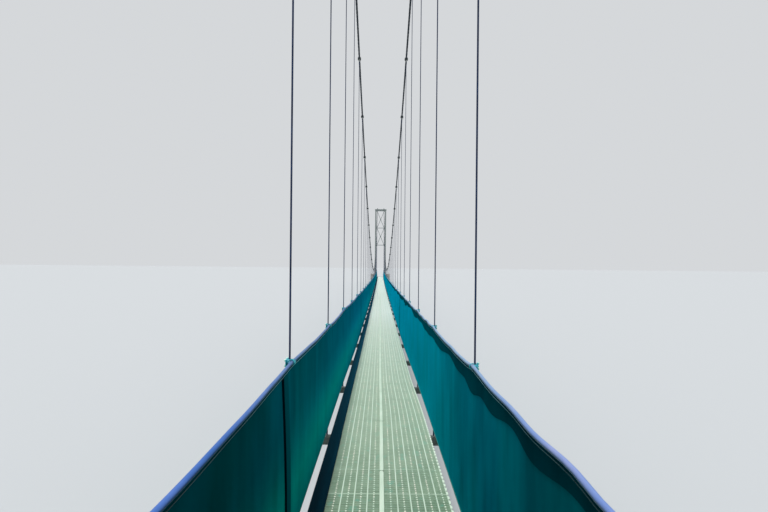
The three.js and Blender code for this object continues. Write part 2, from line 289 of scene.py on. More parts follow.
def circle(radius, sides, lobe=0.0, lobes=0):
    """Points at radius * (1 - lobe + lobe * cos(lobes * angle)): a circle, or a ring of strands."""
    angle = (np.arange(sides) + 0.5 * (lobes == 0)) * 2 * np.pi / sides
    r = radius * (1 - lobe + lobe * np.cos(lobes * angle)) if lobes else radius
    return np.stack([r * np.cos(angle), r * np.sin(angle)], -1)


def oblong(width, height, corner=0.0, steps=1):
    """A rectangle whose corners are quarter circles of `steps` pieces."""
    start = np.repeat(np.arange(4) * np.pi / 2, steps + 1)
    angle = start + np.tile(np.linspace(0, np.pi / 2, steps + 1), 4)
    reach = np.array([width / 2 - corner, height / 2 - corner])
    signs = np.repeat([[1, 1], [-1, 1], [-1, -1], [1, -1]], steps + 1, 0)
    return signs * reach + corner * np.stack([np.cos(angle), np.sin(angle)], -1)


def bar(start, end, width, height, corner=1 * mm, across=(1, 0, 0)):
    """A straight bar with eased corners: an oblong carried from start to end."""
    return sweep([start, end], oblong(width, height, corner), across=across)


print("a straight bar has", len(bar((0, 0, 0), (0, bay, 0), 40 * mm, 20 * mm)[0]), "points")

# %% [markdown]
# ## Many of one shape
#
# Studs, clamps and bolts are one small shape many times over. Copying it as an array makes
# one mesh, which loads faster than thousands of objects or an array modifier.

# %% Copies and groups


def copies(shape, places, tilt=None):
    """The shape at many places: each point is turned about X by the place's tilt, and the
    place is added. All the places are done as one array."""
    points, faces = shape
    places = np.asarray(places, float)
    tilt = np.zeros(len(places)) if tilt is None else np.asarray(tilt)
    cos, sin = np.cos(tilt)[:, None], np.sin(tilt)[:, None]
    x, y, z = (np.broadcast_to(points[:, i], (len(places), len(points))) for i in range(3))
    turned = np.stack([x, y * cos - z * sin, y * sin + z * cos], -1)
    first = (np.arange(len(places)) * len(points))[:, None, None]
    moved_points = (turned + places[:, None]).reshape(-1, 3)
    return moved_points, [(c[None] + first).reshape(-1, c.shape[1]) for c in faces]


def together(shapes):
    """Several shapes as one: their points end to end, and their corner numbers moved on."""
    points, faces, first = [], [], 0
    for p, fs in shapes:
        points.append(p)
        faces += [f + first for f in fs]
        first += len(p)
    return np.concatenate(points), faces


ten_bars = copies(bar((0, 0, 0), (0, bay, 0), 40 * mm, 20 * mm), np.zeros((10, 3)))
print("ten copied bars have", len(ten_bars[0]), "points")

# %% [markdown]
# ## From shape to piece
#
# A piece is one object at the origin, with its place in its mesh, as a CAD node's is. It
# rides on the bridge's one body, and may stand in for CAD nodes. Its faces are smooth, but
# for edges that turn by more than an angle of its own.

# %% A function that makes a piece
added_triangles = 0


def new_piece(name, parts, stands_for=(), sharp=40):
    """One object at the origin from a list of (shape, material). It rides on the bridge."""
    global added_triangles
    mesh = bpy.data.meshes.new(name)
    finishes = list(dict.fromkeys(material for _, material in parts))
    points, corners, sizes, finish, first = [], [], [], [], 0
    for (p, faces), material in parts:
        for f in faces:
            corners.append((f + first).ravel())
            sizes.append(np.full(len(f), f.shape[1]))
            finish.append(np.full(len(f), finishes.index(material)))
        points.append(p)
        first += len(p)
    points, corners, sizes, finish = (np.concatenate(a) for a in (points, corners, sizes, finish))
    mesh.vertices.add(len(points))
    mesh.vertices.foreach_set("co", points.astype(np.float32).ravel())
    mesh.loops.add(len(corners))
    mesh.loops.foreach_set("vertex_index", corners.astype(np.int32))
    mesh.polygons.add(len(sizes))
    mesh.polygons.foreach_set("loop_start", (np.cumsum(sizes) - sizes).astype(np.int32))
    mesh.polygons.foreach_set("material_index", finish.astype(np.int32))
    mesh.polygons.foreach_set("use_smooth", np.ones(len(sizes), bool))
    for material in finishes:
        mesh.materials.append(material)
    mesh.update(calc_edges=True)
    mesh.set_sharp_from_angle(angle=math.radians(sharp))
    piece = bpy.data.objects.new(name, mesh)
    bpy.context.collection.objects.link(piece)
    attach(piece, "root")
    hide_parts(*stands_for)
    triangles = int((sizes - 2).sum())
    added_triangles += triangles
    print(f"{name}: {triangles} triangles, {len(finishes)} finishes")
    return piece


# %% [markdown]
# ## Materials
#
# Each finish is named for what the real one is and how it was made. Colours are sRGB hex
# values, which one function turns to linear light. Another adds a node with its settings
# and links, so that a finish reads as a list of what it is made of.

# %% Colours and nodes


def linear(code):
    """Linear light from sRGB: c / 12.92 under 0.04045, and ((c + 0.055) / 1.055) ** 2.4 over it."""
    c = np.array([int(code[i : i + 2], 16) for i in (1, 3, 5)]) / 255
    return (*np.where(c <= 0.04045, c / 12.92, ((c + 0.055) / 1.055) ** 2.4), 1.0)


def add(tree, kind, settings=None, inputs=None, out=0):
    """Adds one node and returns one of its outputs. Settings are the node's properties, with
    `stops` for a ramp. Inputs are its sockets: another node's socket is linked, a hex value is
    turned to linear light, and anything else is the socket's value."""
    node = tree.nodes.new("ShaderNode" + kind)
    for key, value in (settings or {}).items():
        if key == "stops":
            ramp = node.color_ramp.elements
            while len(ramp) < len(value):
                ramp.new(0.5)
            for element, (place, colour) in zip(ramp, value):
                element.position, element.color = place, linear(colour)
        else:
            setattr(node, key, value)
    for key, value in (inputs or {}).items():
        if isinstance(value, bpy.types.NodeSocket):
            tree.links.new(value, node.inputs[key])
        else:
            node.inputs[key].default_value = linear(value) if isinstance(value, str) else value
    return node.outputs[out]


print("mid grey #808080 is", round(float(linear("#808080")[0]), 3), "in linear light")

# %% [markdown]
# ### A surface, and what is painted on it
#
# Every finish is one Principled surface. What is the same all over it, such as its
# roughness, is set on the surface itself. Its colour comes from a pattern, and a fine
# grain tilts its normals through one Bump node, which costs no faces.

# %% Surfaces, and a colour and grain for them


def new_finish(name, **surface):
    """A material with one Principled surface. Values that are the same all over it are set on
    the surface's own sockets. Returns the material, its nodes, its surface and its place."""
    material = bpy.data.materials.new(name)
    material.use_nodes = True
    tree = material.node_tree
    shader = tree.nodes["Principled BSDF"]
    for key, value in surface.items():
        shader.inputs[key.replace("_", " ")].default_value = value
    return material, tree, shader, add(tree, "TexCoord", out="Object")


def paint(tree, shader, colour, height=None, strength=0.2, distance=2 * mm):
    """Links a colour to the surface, and a height to its normals through one bump. A height
    may be a socket, or the (place, size, detail) of a fine noise."""
    tree.links.new(colour, shader.inputs["Base Color"])
    if isinstance(height, tuple):
        place, size, detail = height
        height = add(tree, "TexNoise", None, {"Vector": place, "Scale": 1 / size, "Detail": detail})
    if height is not None:
        bumped = {"Height": height, "Strength": strength, "Distance": distance}
        tree.links.new(add(tree, "Bump", None, bumped), shader.inputs["Normal"])


print("a finish is one surface, a colour, and one bump at most")

# %% [markdown]
# ## Patterns
#
# Patterns read Object coordinates, so they stay on the piece, and their scales come from
# real sizes in millimetres. Two are used again and again: blots of noise, as wide as real
# stains are, and a colour that changes along the bridge. The grain of zinc, plastic and
# cast steel is under a millimetre, too fine to show, so its bump is drawn at 6 to 30 mm.

# %% Blots, and colours along the bridge


def blots(tree, place, size, detail, stretch, *stops):
    """Colours from stops of (noise value, hex), in blots that are about `size` across and
    drawn out by `stretch`."""
    drawn_out = add(tree, "Mapping", None, {"Vector": place, "Scale": tuple(1 / s for s in stretch)})
    value = add(tree, "TexNoise", None, {"Vector": drawn_out, "Scale": 1 / size, "Detail": detail})
    return add(tree, "ValToRGB", {"stops": stops}, {0: value})


def along_bridge(tree, place, *stops):
    """A colour for each place along the bridge, from stops of (real metres from mid-span, hex)."""
    y = add(tree, "SeparateXYZ", None, {0: place}, "Y")
    share = add(tree, "MapRange", None, {"Value": y, "From Min": -half_span, "From Max": half_span})
    shares = [(at * metre / (2 * half_span) + 0.5, code) for at, code in stops]
    return add(tree, "ValToRGB", {"stops": shares}, {0: share})


print("two patterns for most finishes: blots, and colours along the bridge")

# %% [markdown]
# ### The grating's finishes
#
# The deck is zinc-coated steel with a green tarnish. In its cells the coat is dull, each
# cell a little different, with patches of greener tarnish and of brown dust. Feet keep the
# ribs and studs bright, so they catch the light in pale lines. A coat of oxide does not
# look like bare metal, so Metallic stays at 0 and a little gloss is added. Further along
# the bridge all of it is painted paler: a painted reflection of the pale sky, which the
# deck mirrors at a low angle. So one helper blends a tone towards that pale tint.

# %% Finish of the grating's cells
even = (1, 1, 1)
colours = {"data_type": "RGBA"}
cell_across, cell_along = 50 * mm, 33.33 * mm
sky_reflection_share = ((-35.6, "#000000"), (-34, "#828282"), (-30.5, "#ababab"), (-20, "#ededed"))
sky_reflection_tint = ((-34, "#e6f8dc"), (-22, "#f7faf0"))


def with_sky_reflection(tree, place, tone):
    """The tone, blended along the bridge towards the pale tint of the painted sky reflection."""
    tint = along_bridge(tree, place, *sky_reflection_tint)
    return add(tree, "Mix", colours, {0: along_bridge(tree, place, *sky_reflection_share), 6: tone, 7: tint}, 2)


# Dull zinc on pressed sheet: a soft, low gloss, and no two cells quite alike.
cell_zinc, tree, shader, place = new_finish("cell_zinc_tarnished", Roughness=0.42, Specular_IOR_Level=0.6)
cell = add(tree, "VectorMath", {"operation": "SNAP"}, {0: place, 1: (cell_across, cell_along, 1)})
cell_noise = add(tree, "TexWhiteNoise", {"noise_dimensions": "3D"}, {"Vector": cell})
cell_tone = add(tree, "ValToRGB", {"stops": ((0.0, "#5f7c62"), (1.0, "#a2bb9e"))}, {0: cell_noise})
dull = blots(tree, place, 300 * mm, 4.0, even, (0.3, "#5c7a5c"), (0.5, "#6a8669"), (0.7, "#80997c"))
tone = add(tree, "Mix", colours, {0: 0.2, 6: dull, 7: cell_tone}, 2)
greener = blots(tree, place, 80 * mm, 2.0, (1, 1.6, 1), (0.60, "#000000"), (0.72, "#ffffff"))
tone = add(tree, "Mix", colours, {0: greener, 6: tone, 7: "#5c9a80"}, 2)
dust = blots(tree, place, 500 * mm, 3.0, even, (0.55, "#000000"), (0.85, "#aaaaaa"))
tone = add(tree, "Mix", colours, {0: dust, 6: tone, 7: "#8d917d"}, 2)
paint(tree, shader, with_sky_reflection(tree, place, tone), (place, 8 * mm, 2.0), 0.4)
print("finish of the cells, made of", len(tree.nodes), "nodes")

# %% [markdown]
# ### Zinc on what stands up
#
# What stands up from the cells is the same zinc, but feet rub it. The ribs and the cut edge
# are bright, with freckles of rust. The studs are the palest. The thin bars and the planks'
# lips lie lower, so they stay duller.

# %% Finishes of ribs, bars, lips and studs
# Zinc rubbed bright on the ribs and the cut edge, with freckles of pale rust.
worn_zinc, tree, shader, place = new_finish("rib_zinc_worn_bright", Roughness=0.36, Specular_IOR_Level=0.6)
bright = blots(tree, place, 200 * mm, 4.0, even, (0.3, "#b8d2b8"), (0.55, "#c8dfc6"), (0.75, "#d8e8d4"))
# Painted reflection: further along, the ribs are painted paler, as the deck mirrors the pale sky at a low
# angle.
far_rib_reflection = along_bridge(tree, place, (-36.5, "#000000"), (-34.5, "#bbbbbb"))
tone = add(tree, "Mix", colours, {0: far_rib_reflection, 6: bright, 7: "#f4fff0"}, 2)
rust = blots(tree, place, 60 * mm, 3.0, even, (0.66, "#000000"), (0.78, "#7a7a7a"))
tone = add(tree, "Mix", colours, {0: rust, 6: tone, 7: "#c9bfa6"}, 2)
paint(tree, shader, tone, (place, 6 * mm, 2.0), 0.25)

# Zinc on the thin bars between the studs: a little paler than the cells, so they just show.
bar_zinc, tree, shader, place = new_finish("cross_bar_zinc", Roughness=0.45, Specular_IOR_Level=0.6)
tone = blots(tree, place, 100 * mm, 3.0, even, (0.3, "#7f9c83"), (0.7, "#92ae96"))
paint(tree, shader, with_sky_reflection(tree, place, tone))

# Zinc on the planks' lips: rubbed bright at the near end, dull as the bars from there on.
lip_zinc, tree, shader, place = new_finish("plank_lip_zinc", Roughness=0.42, Specular_IOR_Level=0.6)
tone = along_bridge(tree, place, (-35.3, "#c8dfc6"), (-34.6, "#86a48a"))
paint(tree, shader, with_sky_reflection(tree, place, tone))

# Zinc polished by feet on the studs: the smoothest and palest of the grating's finishes.
look = {"Roughness": 0.35, "Specular_IOR_Level": 0.6}
stud_zinc, tree, shader, place = new_finish("stud_zinc_polished_by_feet", **look)
tone = blots(tree, place, 200 * mm, 3.0, even, (0.35, "#b4d0b8"), (0.5, "#d6e6d0"), (0.65, "#eae8d6"))
paint(tree, shader, tone)
print("finishes of the grating: ribs, bars, lips and studs, beside the cells")

# %% [markdown]
# ### Finishes of the deck's strips
#
# The strip in the middle is a pressed alloy section, rubbed almost white. The one along
# the left edge is painted shadow: a navy strip where the left screen's shadow falls on the
# deck. It takes almost no gloss, and is painted paler further along.
# Packed dirt fills the joint under the middle strip.

# %% Finishes of the strips
# Packed dirt: quite matt, and close to the deck's own tone.
joint_shade, tree, shader, place = new_finish("joint_dirt_packed", Roughness=0.9)
paint(tree, shader, blots(tree, place, 30 * mm, 2.0, even, (0.3, "#64806c"), (0.7, "#829c87")))

# Pressed alloy: pale, with a faint sheen, and worn in patches drawn out along it.
centre_alloy, tree, shader, place = new_finish("centre_strip_alloy_pressed", Roughness=0.4, Metallic=0.1)
pale = blots(tree, place, 120 * mm, 4.0, (1, 3, 1), (0.3, "#cce2c8"), (0.55, "#daecd5"), (0.8, "#e8f4e0"))
paint(tree, shader, pale, (place, 10 * mm, 2.0), 0.3)

# Painted shadow of the left screen on the deck: matt and almost without reflection, so it stays dark at any
# angle.
left_screen_shadow, tree, shader, place = new_finish("left_screen_painted_shadow_navy", Roughness=0.9, Specular_IOR_Level=0.05)
navy = blots(tree, place, 300 * mm, 4.0, (0.3, 3, 1), (0.3, "#00202c"), (0.6, "#002a38"), (0.85, "#053442"))
# The painted shadow is paler further along.
paler_further = along_bridge(tree, place, (-35, "#000000"), (-30, "#ffffff"))
tone = add(tree, "Mix", colours, {0: paler_further, 6: navy, 7: "#0c4e62"}, 2)
paint(tree, shader, tone, (place, 12 * mm, 3.0), 0.3)
print("finishes of the strips: packed dirt, pressed alloy and rubber")

# %% [markdown]
# ### The nets' finishes
#
# The screens are shade cloth, knitted from dark teal tape. The knit is about 3 mm across,
# too fine to show from the deck, so its bump is drawn at 9 mm. Matt tape has no gloss, so
# the cloth's colour is all that the eye gets. It is painted darker at the near end, as
# painted shade, with a step at the first roll, and lighter and bluer towards the far end.
# Low on the left screen the pale deck lights it from beside, and past the first roll its
# head is painted darker, as painted shade. The outer face of both screens is painted
# darker than the inner one, as painted shade against the light that falls on it. Upright
# streaks of painted light and shade stand for the sun grazing the cloth's folds, and they
# are strongest in the first metres.

# %% Patterns of the nets
darkening = {"data_type": "RGBA", "blend_type": "MULTIPLY"}


def over_deck(tree, place):
    """Height over the deck, from 0 at its top to 1 at 1.1 m: Z less the deck's parabola."""
    y, z = (add(tree, "SeparateXYZ", None, {0: place}, axis) for axis in "YZ")
    square = add(tree, "Math", {"operation": "MULTIPLY"}, {0: y, 1: y})
    level = {0: square, 1: -deck_sag / half_span**2, 2: z}
    level = add(tree, "Math", {"operation": "MULTIPLY_ADD"}, level)
    low = deck_end_level - deck_sag
    return add(tree, "MapRange", None, {"Value": level, "From Min": low, "From Max": low + 1.1 * metre})


def facing(tree, axis):
    """How far the surface faces along an axis, from -1 to 1: that number of its normal."""
    normal = add(tree, "NewGeometry", out="Normal")
    return add(tree, "SeparateXYZ", None, {0: normal}, axis)


def wave_scale(spacing):
    """Scale of a wave node whose bands lie a spacing apart: pi / 10 over the spacing, because
    the node turns by 20 radians in each unit of its scale."""
    return math.pi / 10 / spacing


print("bands 9 mm apart need a scale of", round(wave_scale(9 * mm), 1))

# %% [markdown]
# ### One function for all the cloths
#
# The layers are the same knit, so one function makes their finishes. It starts from a
# colour along the bridge. The clouds, the light from the deck, the painted shade of the
# outer face and the painted light and shade of the streaks are then laid over it, one Mix
# node at a time.

# %% Cloth of the nets
knit_spacing = 9 * mm
first_roll = -36.1, -36.12


def shade_cloth(name, stops, cloud, foot=None, streak=0.2, outside=0):
    """Teal net: a colour along the bridge, with clouds of a second colour. With foot, a third
    low down where the deck lights it, and painted shade on the head past the first roll. With
    outside, painted shade on the outer face, where the normal's X has that sign. Upright
    streaks of painted light and shade make all of it darker or lighter by up to the share
    `streak`, and fade along the bridge."""
    cloth, tree, shader, place = new_finish(name, Roughness=1.0, Specular_IOR_Level=0.0)
    clouds = blots(tree, place, 500 * mm, 2.0, (1, 1, 1.6), (0.42, "#000000"), (0.72, "#b0b0b0"))
    tone = add(tree, "Mix", colours, {0: clouds, 6: along_bridge(tree, place, *stops), 7: cloud}, 2)
    if foot:
        up = over_deck(tree, place)
        low = (0.05, "#a0a0a0"), (0.32, "#c9c9c9"), (0.46, "#9c9c9c"), (0.59, "#595959"), (0.75, "#000000")
        low = add(tree, "ValToRGB", {"stops": low}, {0: up})
        tone = add(tree, "Mix", colours, {0: low, 6: tone, 7: along_bridge(tree, place, *foot)}, 2)
        # Painted shade on the head past the first roll.
        head = (0.5, "#ffffff"), (0.59, "#f6f6f6"), (0.73, "#e1e1e1"), (0.96, "#d0d0d0")
        head = add(tree, "ValToRGB", {"stops": head}, {0: up})
        later = (first_roll[1], "#000000"), (first_roll[0], "#ffffff"), (-30, "#ffffff"), (-22, "#b0b0b0")
        tone = add(tree, "Mix", darkening, {0: along_bridge(tree, place, *later), 6: tone, 7: head}, 2)
    if outside:
        # Painted shade on the outer face, darker against the light that falls on it.
        outer_facing = add(tree, "Math", {"operation": "MULTIPLY"}, {0: facing(tree, "X"), 1: outside})
        outer_shade = add(tree, "ValToRGB", {"stops": ((0.3, "#000000"), (0.6, "#cccccc"))}, {0: outer_facing})
        tone = add(tree, "Mix", colours, {0: outer_shade, 6: tone, 7: "#2a7674"}, 2)
    # Painted light and shade: upright streaks stand for the sun grazing the folds, strongest near the first
    # end.
    folds = add(tree, "Mapping", None, {"Vector": place, "Scale": (1, 1, 0.25)})
    folds = add(tree, "TexNoise", None, {"Vector": folds, "Scale": 1 / (160 * mm), "Detail": 5.0})
    shade = {
        "Value": folds,
        "From Min": 0.3,
        "From Max": 0.7,
        "To Min": 0.92 - streak,
        "To Max": 0.92 + streak,
    }
    shade = add(tree, "MapRange", None, shade)
    streak_fade = along_bridge(tree, place, (-36, "#ffffff"), (-33.5, "#c4c4c4"), (-30, "#989898"))
    tone = add(tree, "Mix", darkening, {0: streak_fade, 6: tone, 7: shade}, 2)
    rows = {"Vector": place, "Scale": wave_scale(knit_spacing)}
    rows = [add(tree, "TexWave", {"bands_direction": axis}, rows, "Fac") for axis in "YZ"]
    knit = add(tree, "Math", {"operation": "ADD"}, {0: rows[0], 1: rows[1]})
    paint(tree, shader, tone, knit, 0.1, 1 * mm)
    return cloth


print("knit drawn at", round(knit_spacing / mm), "mm")

# %% [markdown]
# ### One cloth for each layer
#
# The same cloth gets other finishes for the handrail's painted shadow, at its laps and where
# it is bound with tape. So each layer has a finish of its own, with stops in real metres
# from mid-span.

# %% Finishes of the nets
# Painted shade: both screens are darker at the near end and lighter towards the far end.
left_stops = (
    (-37.7, "#00383a"), (-36.6, "#00565e"), (first_roll[1], "#006070"), (first_roll[0], "#006a74"),
    (-35.94, "#007e8a"), (-34, "#00869c"), (-29, "#008eae"), (-20, "#008ca4"),
)
left_foot = (-34, "#00bcac"), (-27, "#00a6b0")
right_stops = (
    (-37.6, "#004850"), (-37.3, "#004650"), (-37.0, "#005c6a"), (-36.6, "#006276"),
    (-36.35, "#006c82"), (-36.1, "#00768c"), (-35.8, "#00768a"), (-35.2, "#008aa0"),
    (-34.2, "#00a2bc"), (-30, "#00acce"), (-20, "#00b2d8"),
)
rail_shadow_stops = (-37.5, "#002e38"), (-36, "#004450"), (-34, "#005866")
lap_stops = (-37.5, "#000f18"), (-30, "#001c28")
overlap_shade_stops = (-37.5, "#005660"), (-30, "#006878")
hem_stops = (-37, "#20786e"), (-33, "#4a9c98")

# One layer of knitted tape on each side. The right one is painted lighter and bluer, as painted sunlight
# that grazes it, and the left one darker, as painted shade.
net_left = shade_cloth("shade_cloth_left", left_stops, "#006a80", left_foot, 0.17, outside=-1)
net_right = shade_cloth("shade_cloth_right", right_stops, "#00929e", outside=1)
# Painted shadow of the right handrail on the head of its screen: a darker sheet laid inside the cloth.
rail_shadow_cloth = shade_cloth("shade_cloth_painted_rail_shadow", rail_shadow_stops, "#004a52", streak=0.15)
# At a lap a nearly black upright line runs down the cloth. Beside it the two layers are painted darker, as
# painted shade, since less light comes through two.
net_lap = shade_cloth("shade_cloth_lap", lap_stops, "#001c24", streak=0.1)
overlap_shade_cloth = shade_cloth("shade_cloth_painted_overlap_shade", overlap_shade_stops, "#005058", streak=0.12)
# The hem is bound with tape that has faded more than the cloth.
net_hem = shade_cloth("shade_cloth_hem", hem_stops, "#3a8a88", streak=0.1)

# Nylon thread, sewn along the nets' heads: dark at the near end, and pale where it has faded.
hem_thread, tree, shader, place = new_finish("hem_thread_nylon", Roughness=0.7)
thread_stops = (-37.6, "#1c444a"), (-37, "#2e6068"), (-36.2, "#6aa0a8"), (-30, "#78aab0")
paint(tree, shader, along_bridge(tree, place, *thread_stops))
print("finishes of the nets: six cloths and a thread")

# %% [markdown]
# ### Rail and clamp finishes
#
# The handrails are wire rope in a lavender-blue plastic sheath, smooth where it is new and
# chalky where it has weathered, with painted shade under it. The left one is painted
# bluer, as painted shade, and the right one paler, as painted sunlight. Its clamps are
# enamelled, with painted highlights.

# %% Finishes of rails and clamps


def rail_sheath(name, dark, middle, light, chalky, underside_shade):
    """Plastic sheath: blotches of three tones drawn out along it, a chalky bloom further on,
    and painted shade where its normal points down."""
    sheath, tree, shader, place = new_finish(name, Roughness=0.5, Specular_IOR_Level=0.2)
    tone = blots(tree, place, 100 * mm, 3.0, (1, 3, 1), (0.3, dark), (0.5, middle), (0.68, light))
    bloom = along_bridge(tree, place, (-37.3, "#000000"), (-35.9, "#e0e0e0"))
    tone = add(tree, "Mix", colours, {0: bloom, 6: tone, 7: chalky}, 2)
    out_of_shade = add(tree, "ValToRGB", {"stops": ((0.0, "#000000"), (0.55, "#ffffff"))}, {0: facing(tree, "Z")})
    tone = add(tree, "Mix", colours, {0: out_of_shade, 6: underside_shade, 7: tone}, 2)
    paint(tree, shader, tone, (place, 10 * mm, 2.0), 0.15)
    return sheath


# Soft plastic with a satin shine. The left one is painted bluer, as painted shade, and the right one paler,
# like lavender, as painted sunlight.
shaded_left_sheath = rail_sheath("rail_sheath_pvc_painted_shade", "#2e5ea6", "#3c66ae", "#5c7abe", "#5a789c", "#24486e")
sunlit_right_sheath = rail_sheath("rail_sheath_pvc_painted_sunlight", "#637fbc", "#7289bf", "#8b95c5", "#84a6bc", "#587090")

# Baked enamel on the clamps: hard and glossy under a clear coat, with pale patches that are painted
# highlights.
clamp_paint, tree, shader, place = new_finish("clamp_enamel_teal", Roughness=0.28, Coat_Weight=0.4)
teal = blots(tree, place, 30 * mm, 3.0, even, (0.3, "#1496a4"), (0.55, "#2cbccc"), (0.75, "#7ce0e8"))
paint(tree, shader, teal)

# The same enamel on the nuts, painted paler as painted highlights, so they show as bright points.
clamp_nut, tree, shader, place = new_finish("clamp_nut_enamel_painted_highlight", Roughness=0.3)
paint(tree, shader, blots(tree, place, 30 * mm, 2.0, even, (0.3, "#54cc98"), (0.7, "#c8f4e0")))

print("finishes of rails and clamps: two sheaths and two enamels")

# %% [markdown]
# ### Rope finishes
#
# Hangers and main ropes are bare steel wire, oiled on the thin ones and dulled on the thick
# ones. The wires are laid in strands, so light runs down a rope in slanted lines. Those are
# a pattern on the hangers. The main ropes have real strands, so they only need a grain.

# %% Finishes of the ropes
# Oiled wire rope: dark blue-black, with a glint on its slanted strands.
hanger_rope, tree, shader, place = new_finish("hanger_wire_rope_oiled", Roughness=0.45, Metallic=0.4)
oiled = blots(tree, place, 40 * mm, 3.0, (1, 1, 3), (0.3, "#0a2040"), (0.6, "#143058"), (0.85, "#2c4c74"))
slanted = {"Vector": place, "Scale": wave_scale(9 * mm)}
strands = add(tree, "TexWave", {"bands_direction": "DIAGONAL"}, slanted, "Fac")
paint(tree, shader, oiled, strands, 0.5, 1 * mm)

# Weathered wire rope: grey steel, dulled and rough to the touch.
main_rope, tree, shader, place = new_finish("main_wire_rope_weathered", Roughness=0.5, Metallic=0.6)
strand = blots(tree, place, 60 * mm, 4.0, (1, 2, 1), (0.3, "#1c232a"), (0.6, "#323c44"), (0.85, "#56616a"))
paint(tree, shader, strand, (place, 8 * mm, 2.0), 0.4)
print("finishes of the ropes: one oiled and one weathered")

# %% [markdown]
# ### Tower and casting finishes
#
# Hot-dip zinc on the towers has a spangle of crystals, drawn here at 25 mm. Castings are
# rougher and darker.

# %% Finishes of steel


def dipped_zinc(name, dark, middle, light):
    """Zinc crystals as Voronoi cells, each of its own grey, under soft stains."""
    zinc, tree, shader, place = new_finish(name, Roughness=0.48, Metallic=0.55)
    crystal = add(tree, "TexVoronoi", None, {"Vector": place, "Scale": 1 / (25 * mm)}, "Color")
    grey = add(tree, "SeparateColor", None, {"Color": crystal})
    spangle = add(tree, "ValToRGB", {"stops": ((0.0, dark), (0.5, middle), (1.0, light))}, {0: grey})
    stain = blots(tree, place, 500 * mm, 4.0, (1, 1, 3), (0.45, "#000000"), (0.8, "#8a8a8a"))
    stained = add(tree, "Mix", colours, {0: stain, 6: spangle, 7: "#6f7672"}, 2)
    paint(tree, shader, stained, (place, 20 * mm, 2.0), 0.12)
    return zinc


# Zinc on the towers is clean and pale, under the deck it is dark, on bolts it is plated.
tower_zinc = dipped_zinc("tower_hot_dip_zinc", "#828b8a", "#929b99", "#a3acaa")
frame_zinc = dipped_zinc("beam_hot_dip_zinc_dark", "#3c4744", "#48534f", "#55605b")
bolt_zinc = dipped_zinc("bolt_plated_zinc", "#8f9492", "#a5aaa7", "#b8bdba")

# Cast steel: grainy from the sand mould, and darker than rolled steel.
cast_steel, tree, shader, place = new_finish("saddle_cast_steel", Roughness=0.6, Metallic=0.5)
cast = blots(tree, place, 100 * mm, 4.0, even, (0.3, "#3d4547"), (0.6, "#4f585a"), (0.85, "#6a6f6c"))
paint(tree, shader, cast, (place, 15 * mm, 3.0), 0.5, 3 * mm)

print("finishes of steel: three zincs and cast steel")

# %% [markdown]
# ### Concrete
#
# Concrete keeps the mark of the boards that it was poured between, as dark lines on its
# upright faces, and it has pores and streaks where rain runs down. The lines are a wave
# along Z, so they stay level on every block.

# %% Finish of the concrete
# Concrete: matt and pored, with a dark line at each board on its upright faces.
board_width = 150 * mm
concrete, tree, shader, place = new_finish("concrete_board_marked", Roughness=0.9)
body = blots(tree, place, 600 * mm, 6.0, even, (0.25, "#86847c"), (0.5, "#989690"), (0.8, "#aaa8a0"))
board = {"Vector": place, "Scale": wave_scale(board_width), "Distortion": 0.3}
board = add(tree, "TexWave", {"bands_direction": "Z", "wave_profile": "SAW"}, board, "Fac")
board = add(tree, "ValToRGB", {"stops": ((0.0, "#ffffff"), (0.05, "#000000"))}, {0: board})
upright = add(tree, "ValToRGB", {"stops": ((0.2, "#ffffff"), (0.5, "#000000"))}, {0: facing(tree, "Z")})
lines = add(tree, "Mix", darkening, {0: 1.0, 6: board, 7: upright}, 2)
tone = add(tree, "Mix", colours, {0: lines, 6: body, 7: "#74726b"}, 2)
rain = blots(tree, place, 200 * mm, 4.0, (1, 1, 8), (0.5, "#000000"), (0.8, "#9a9a9a"))
tone = add(tree, "Mix", colours, {0: rain, 6: tone, 7: "#6d6c62"}, 2)
paint(tree, shader, tone, (place, 30 * mm, 5.0), 0.5, 6 * mm)
print("concrete boards", round(board_width / mm), "mm wide")

# %% [markdown]
# ## The deck's grating
#
# The deck is made of steel planks that lie across it. Each is pressed into cells, with
# bright ribs every 100 mm, a row of studs between each pair of ribs, large and small by
# turns, and thin bars that join the studs. A lip crosses the deck where two planks meet.
# The deck's right edge shows half holes where the sheet was cut, like the teeth of a saw.
#
# A texture could draw all this, but a low camera sees studs and ribs against the light.
# So they are real. Twenty thousand studs need few faces each: six sides and a point,
# shaded smooth, read as a round dome.

# %% Sizes of the grating
deck_half = 500 * mm
left_half = 520 * mm
grating_depth = 30 * mm
cell_floor = -6 * mm
rib_pitch = 100 * mm
rib_width = 11 * mm
stud_step = 33.33 * mm
large_stud = (10 * mm, 7 * mm)
small_stud = (7.5 * mm, 6 * mm)
plank_length = 425 * mm
lip_inset = 8 * mm
lip_clearance = 20 * mm
tooth_pitch = 66.67 * mm
tooth_depth = 16 * mm
tooth_drop = 3 * mm
edge_start = 484 * mm
strip_inner = -405 * mm
middle_gap = 2 * mm
deck_cuts = np.array([-40.05, -25, -9, 9, 25, 40.05]) * metre
cut_gap = 3 * mm
print("grating lengths:", np.round(np.diff(deck_cuts) / metre, 2), "real metres")

# %% [markdown]
# ### Small shapes of the grating
#
# Studs, bars and lips are made once and copied along the deck. The toothed edge is one
# sweep whose width changes. Near a landing the right half of each stands out by the joint.

# %% Shapes of the grating


def along_deck(y, x=0.0, rise=0.0):
    """Points over the deck's line at x, raised by rise."""
    y = np.asarray(y, float)
    return np.stack([x + np.zeros_like(y), y, deck_level(y) + rise], -1)


def dome(radius, height, sides=6):
    """A ring of points and one above its middle, closed underneath."""
    ring = circle(radius, sides)
    points = np.vstack([np.c_[ring, np.zeros(sides)], [[0, 0, height]]])
    first = np.arange(sides)
    slopes = np.stack([first, (first + 1) % sides, np.full(sides, sides)], -1)
    return turned_out((points, [slopes, first[None, ::-1]]))


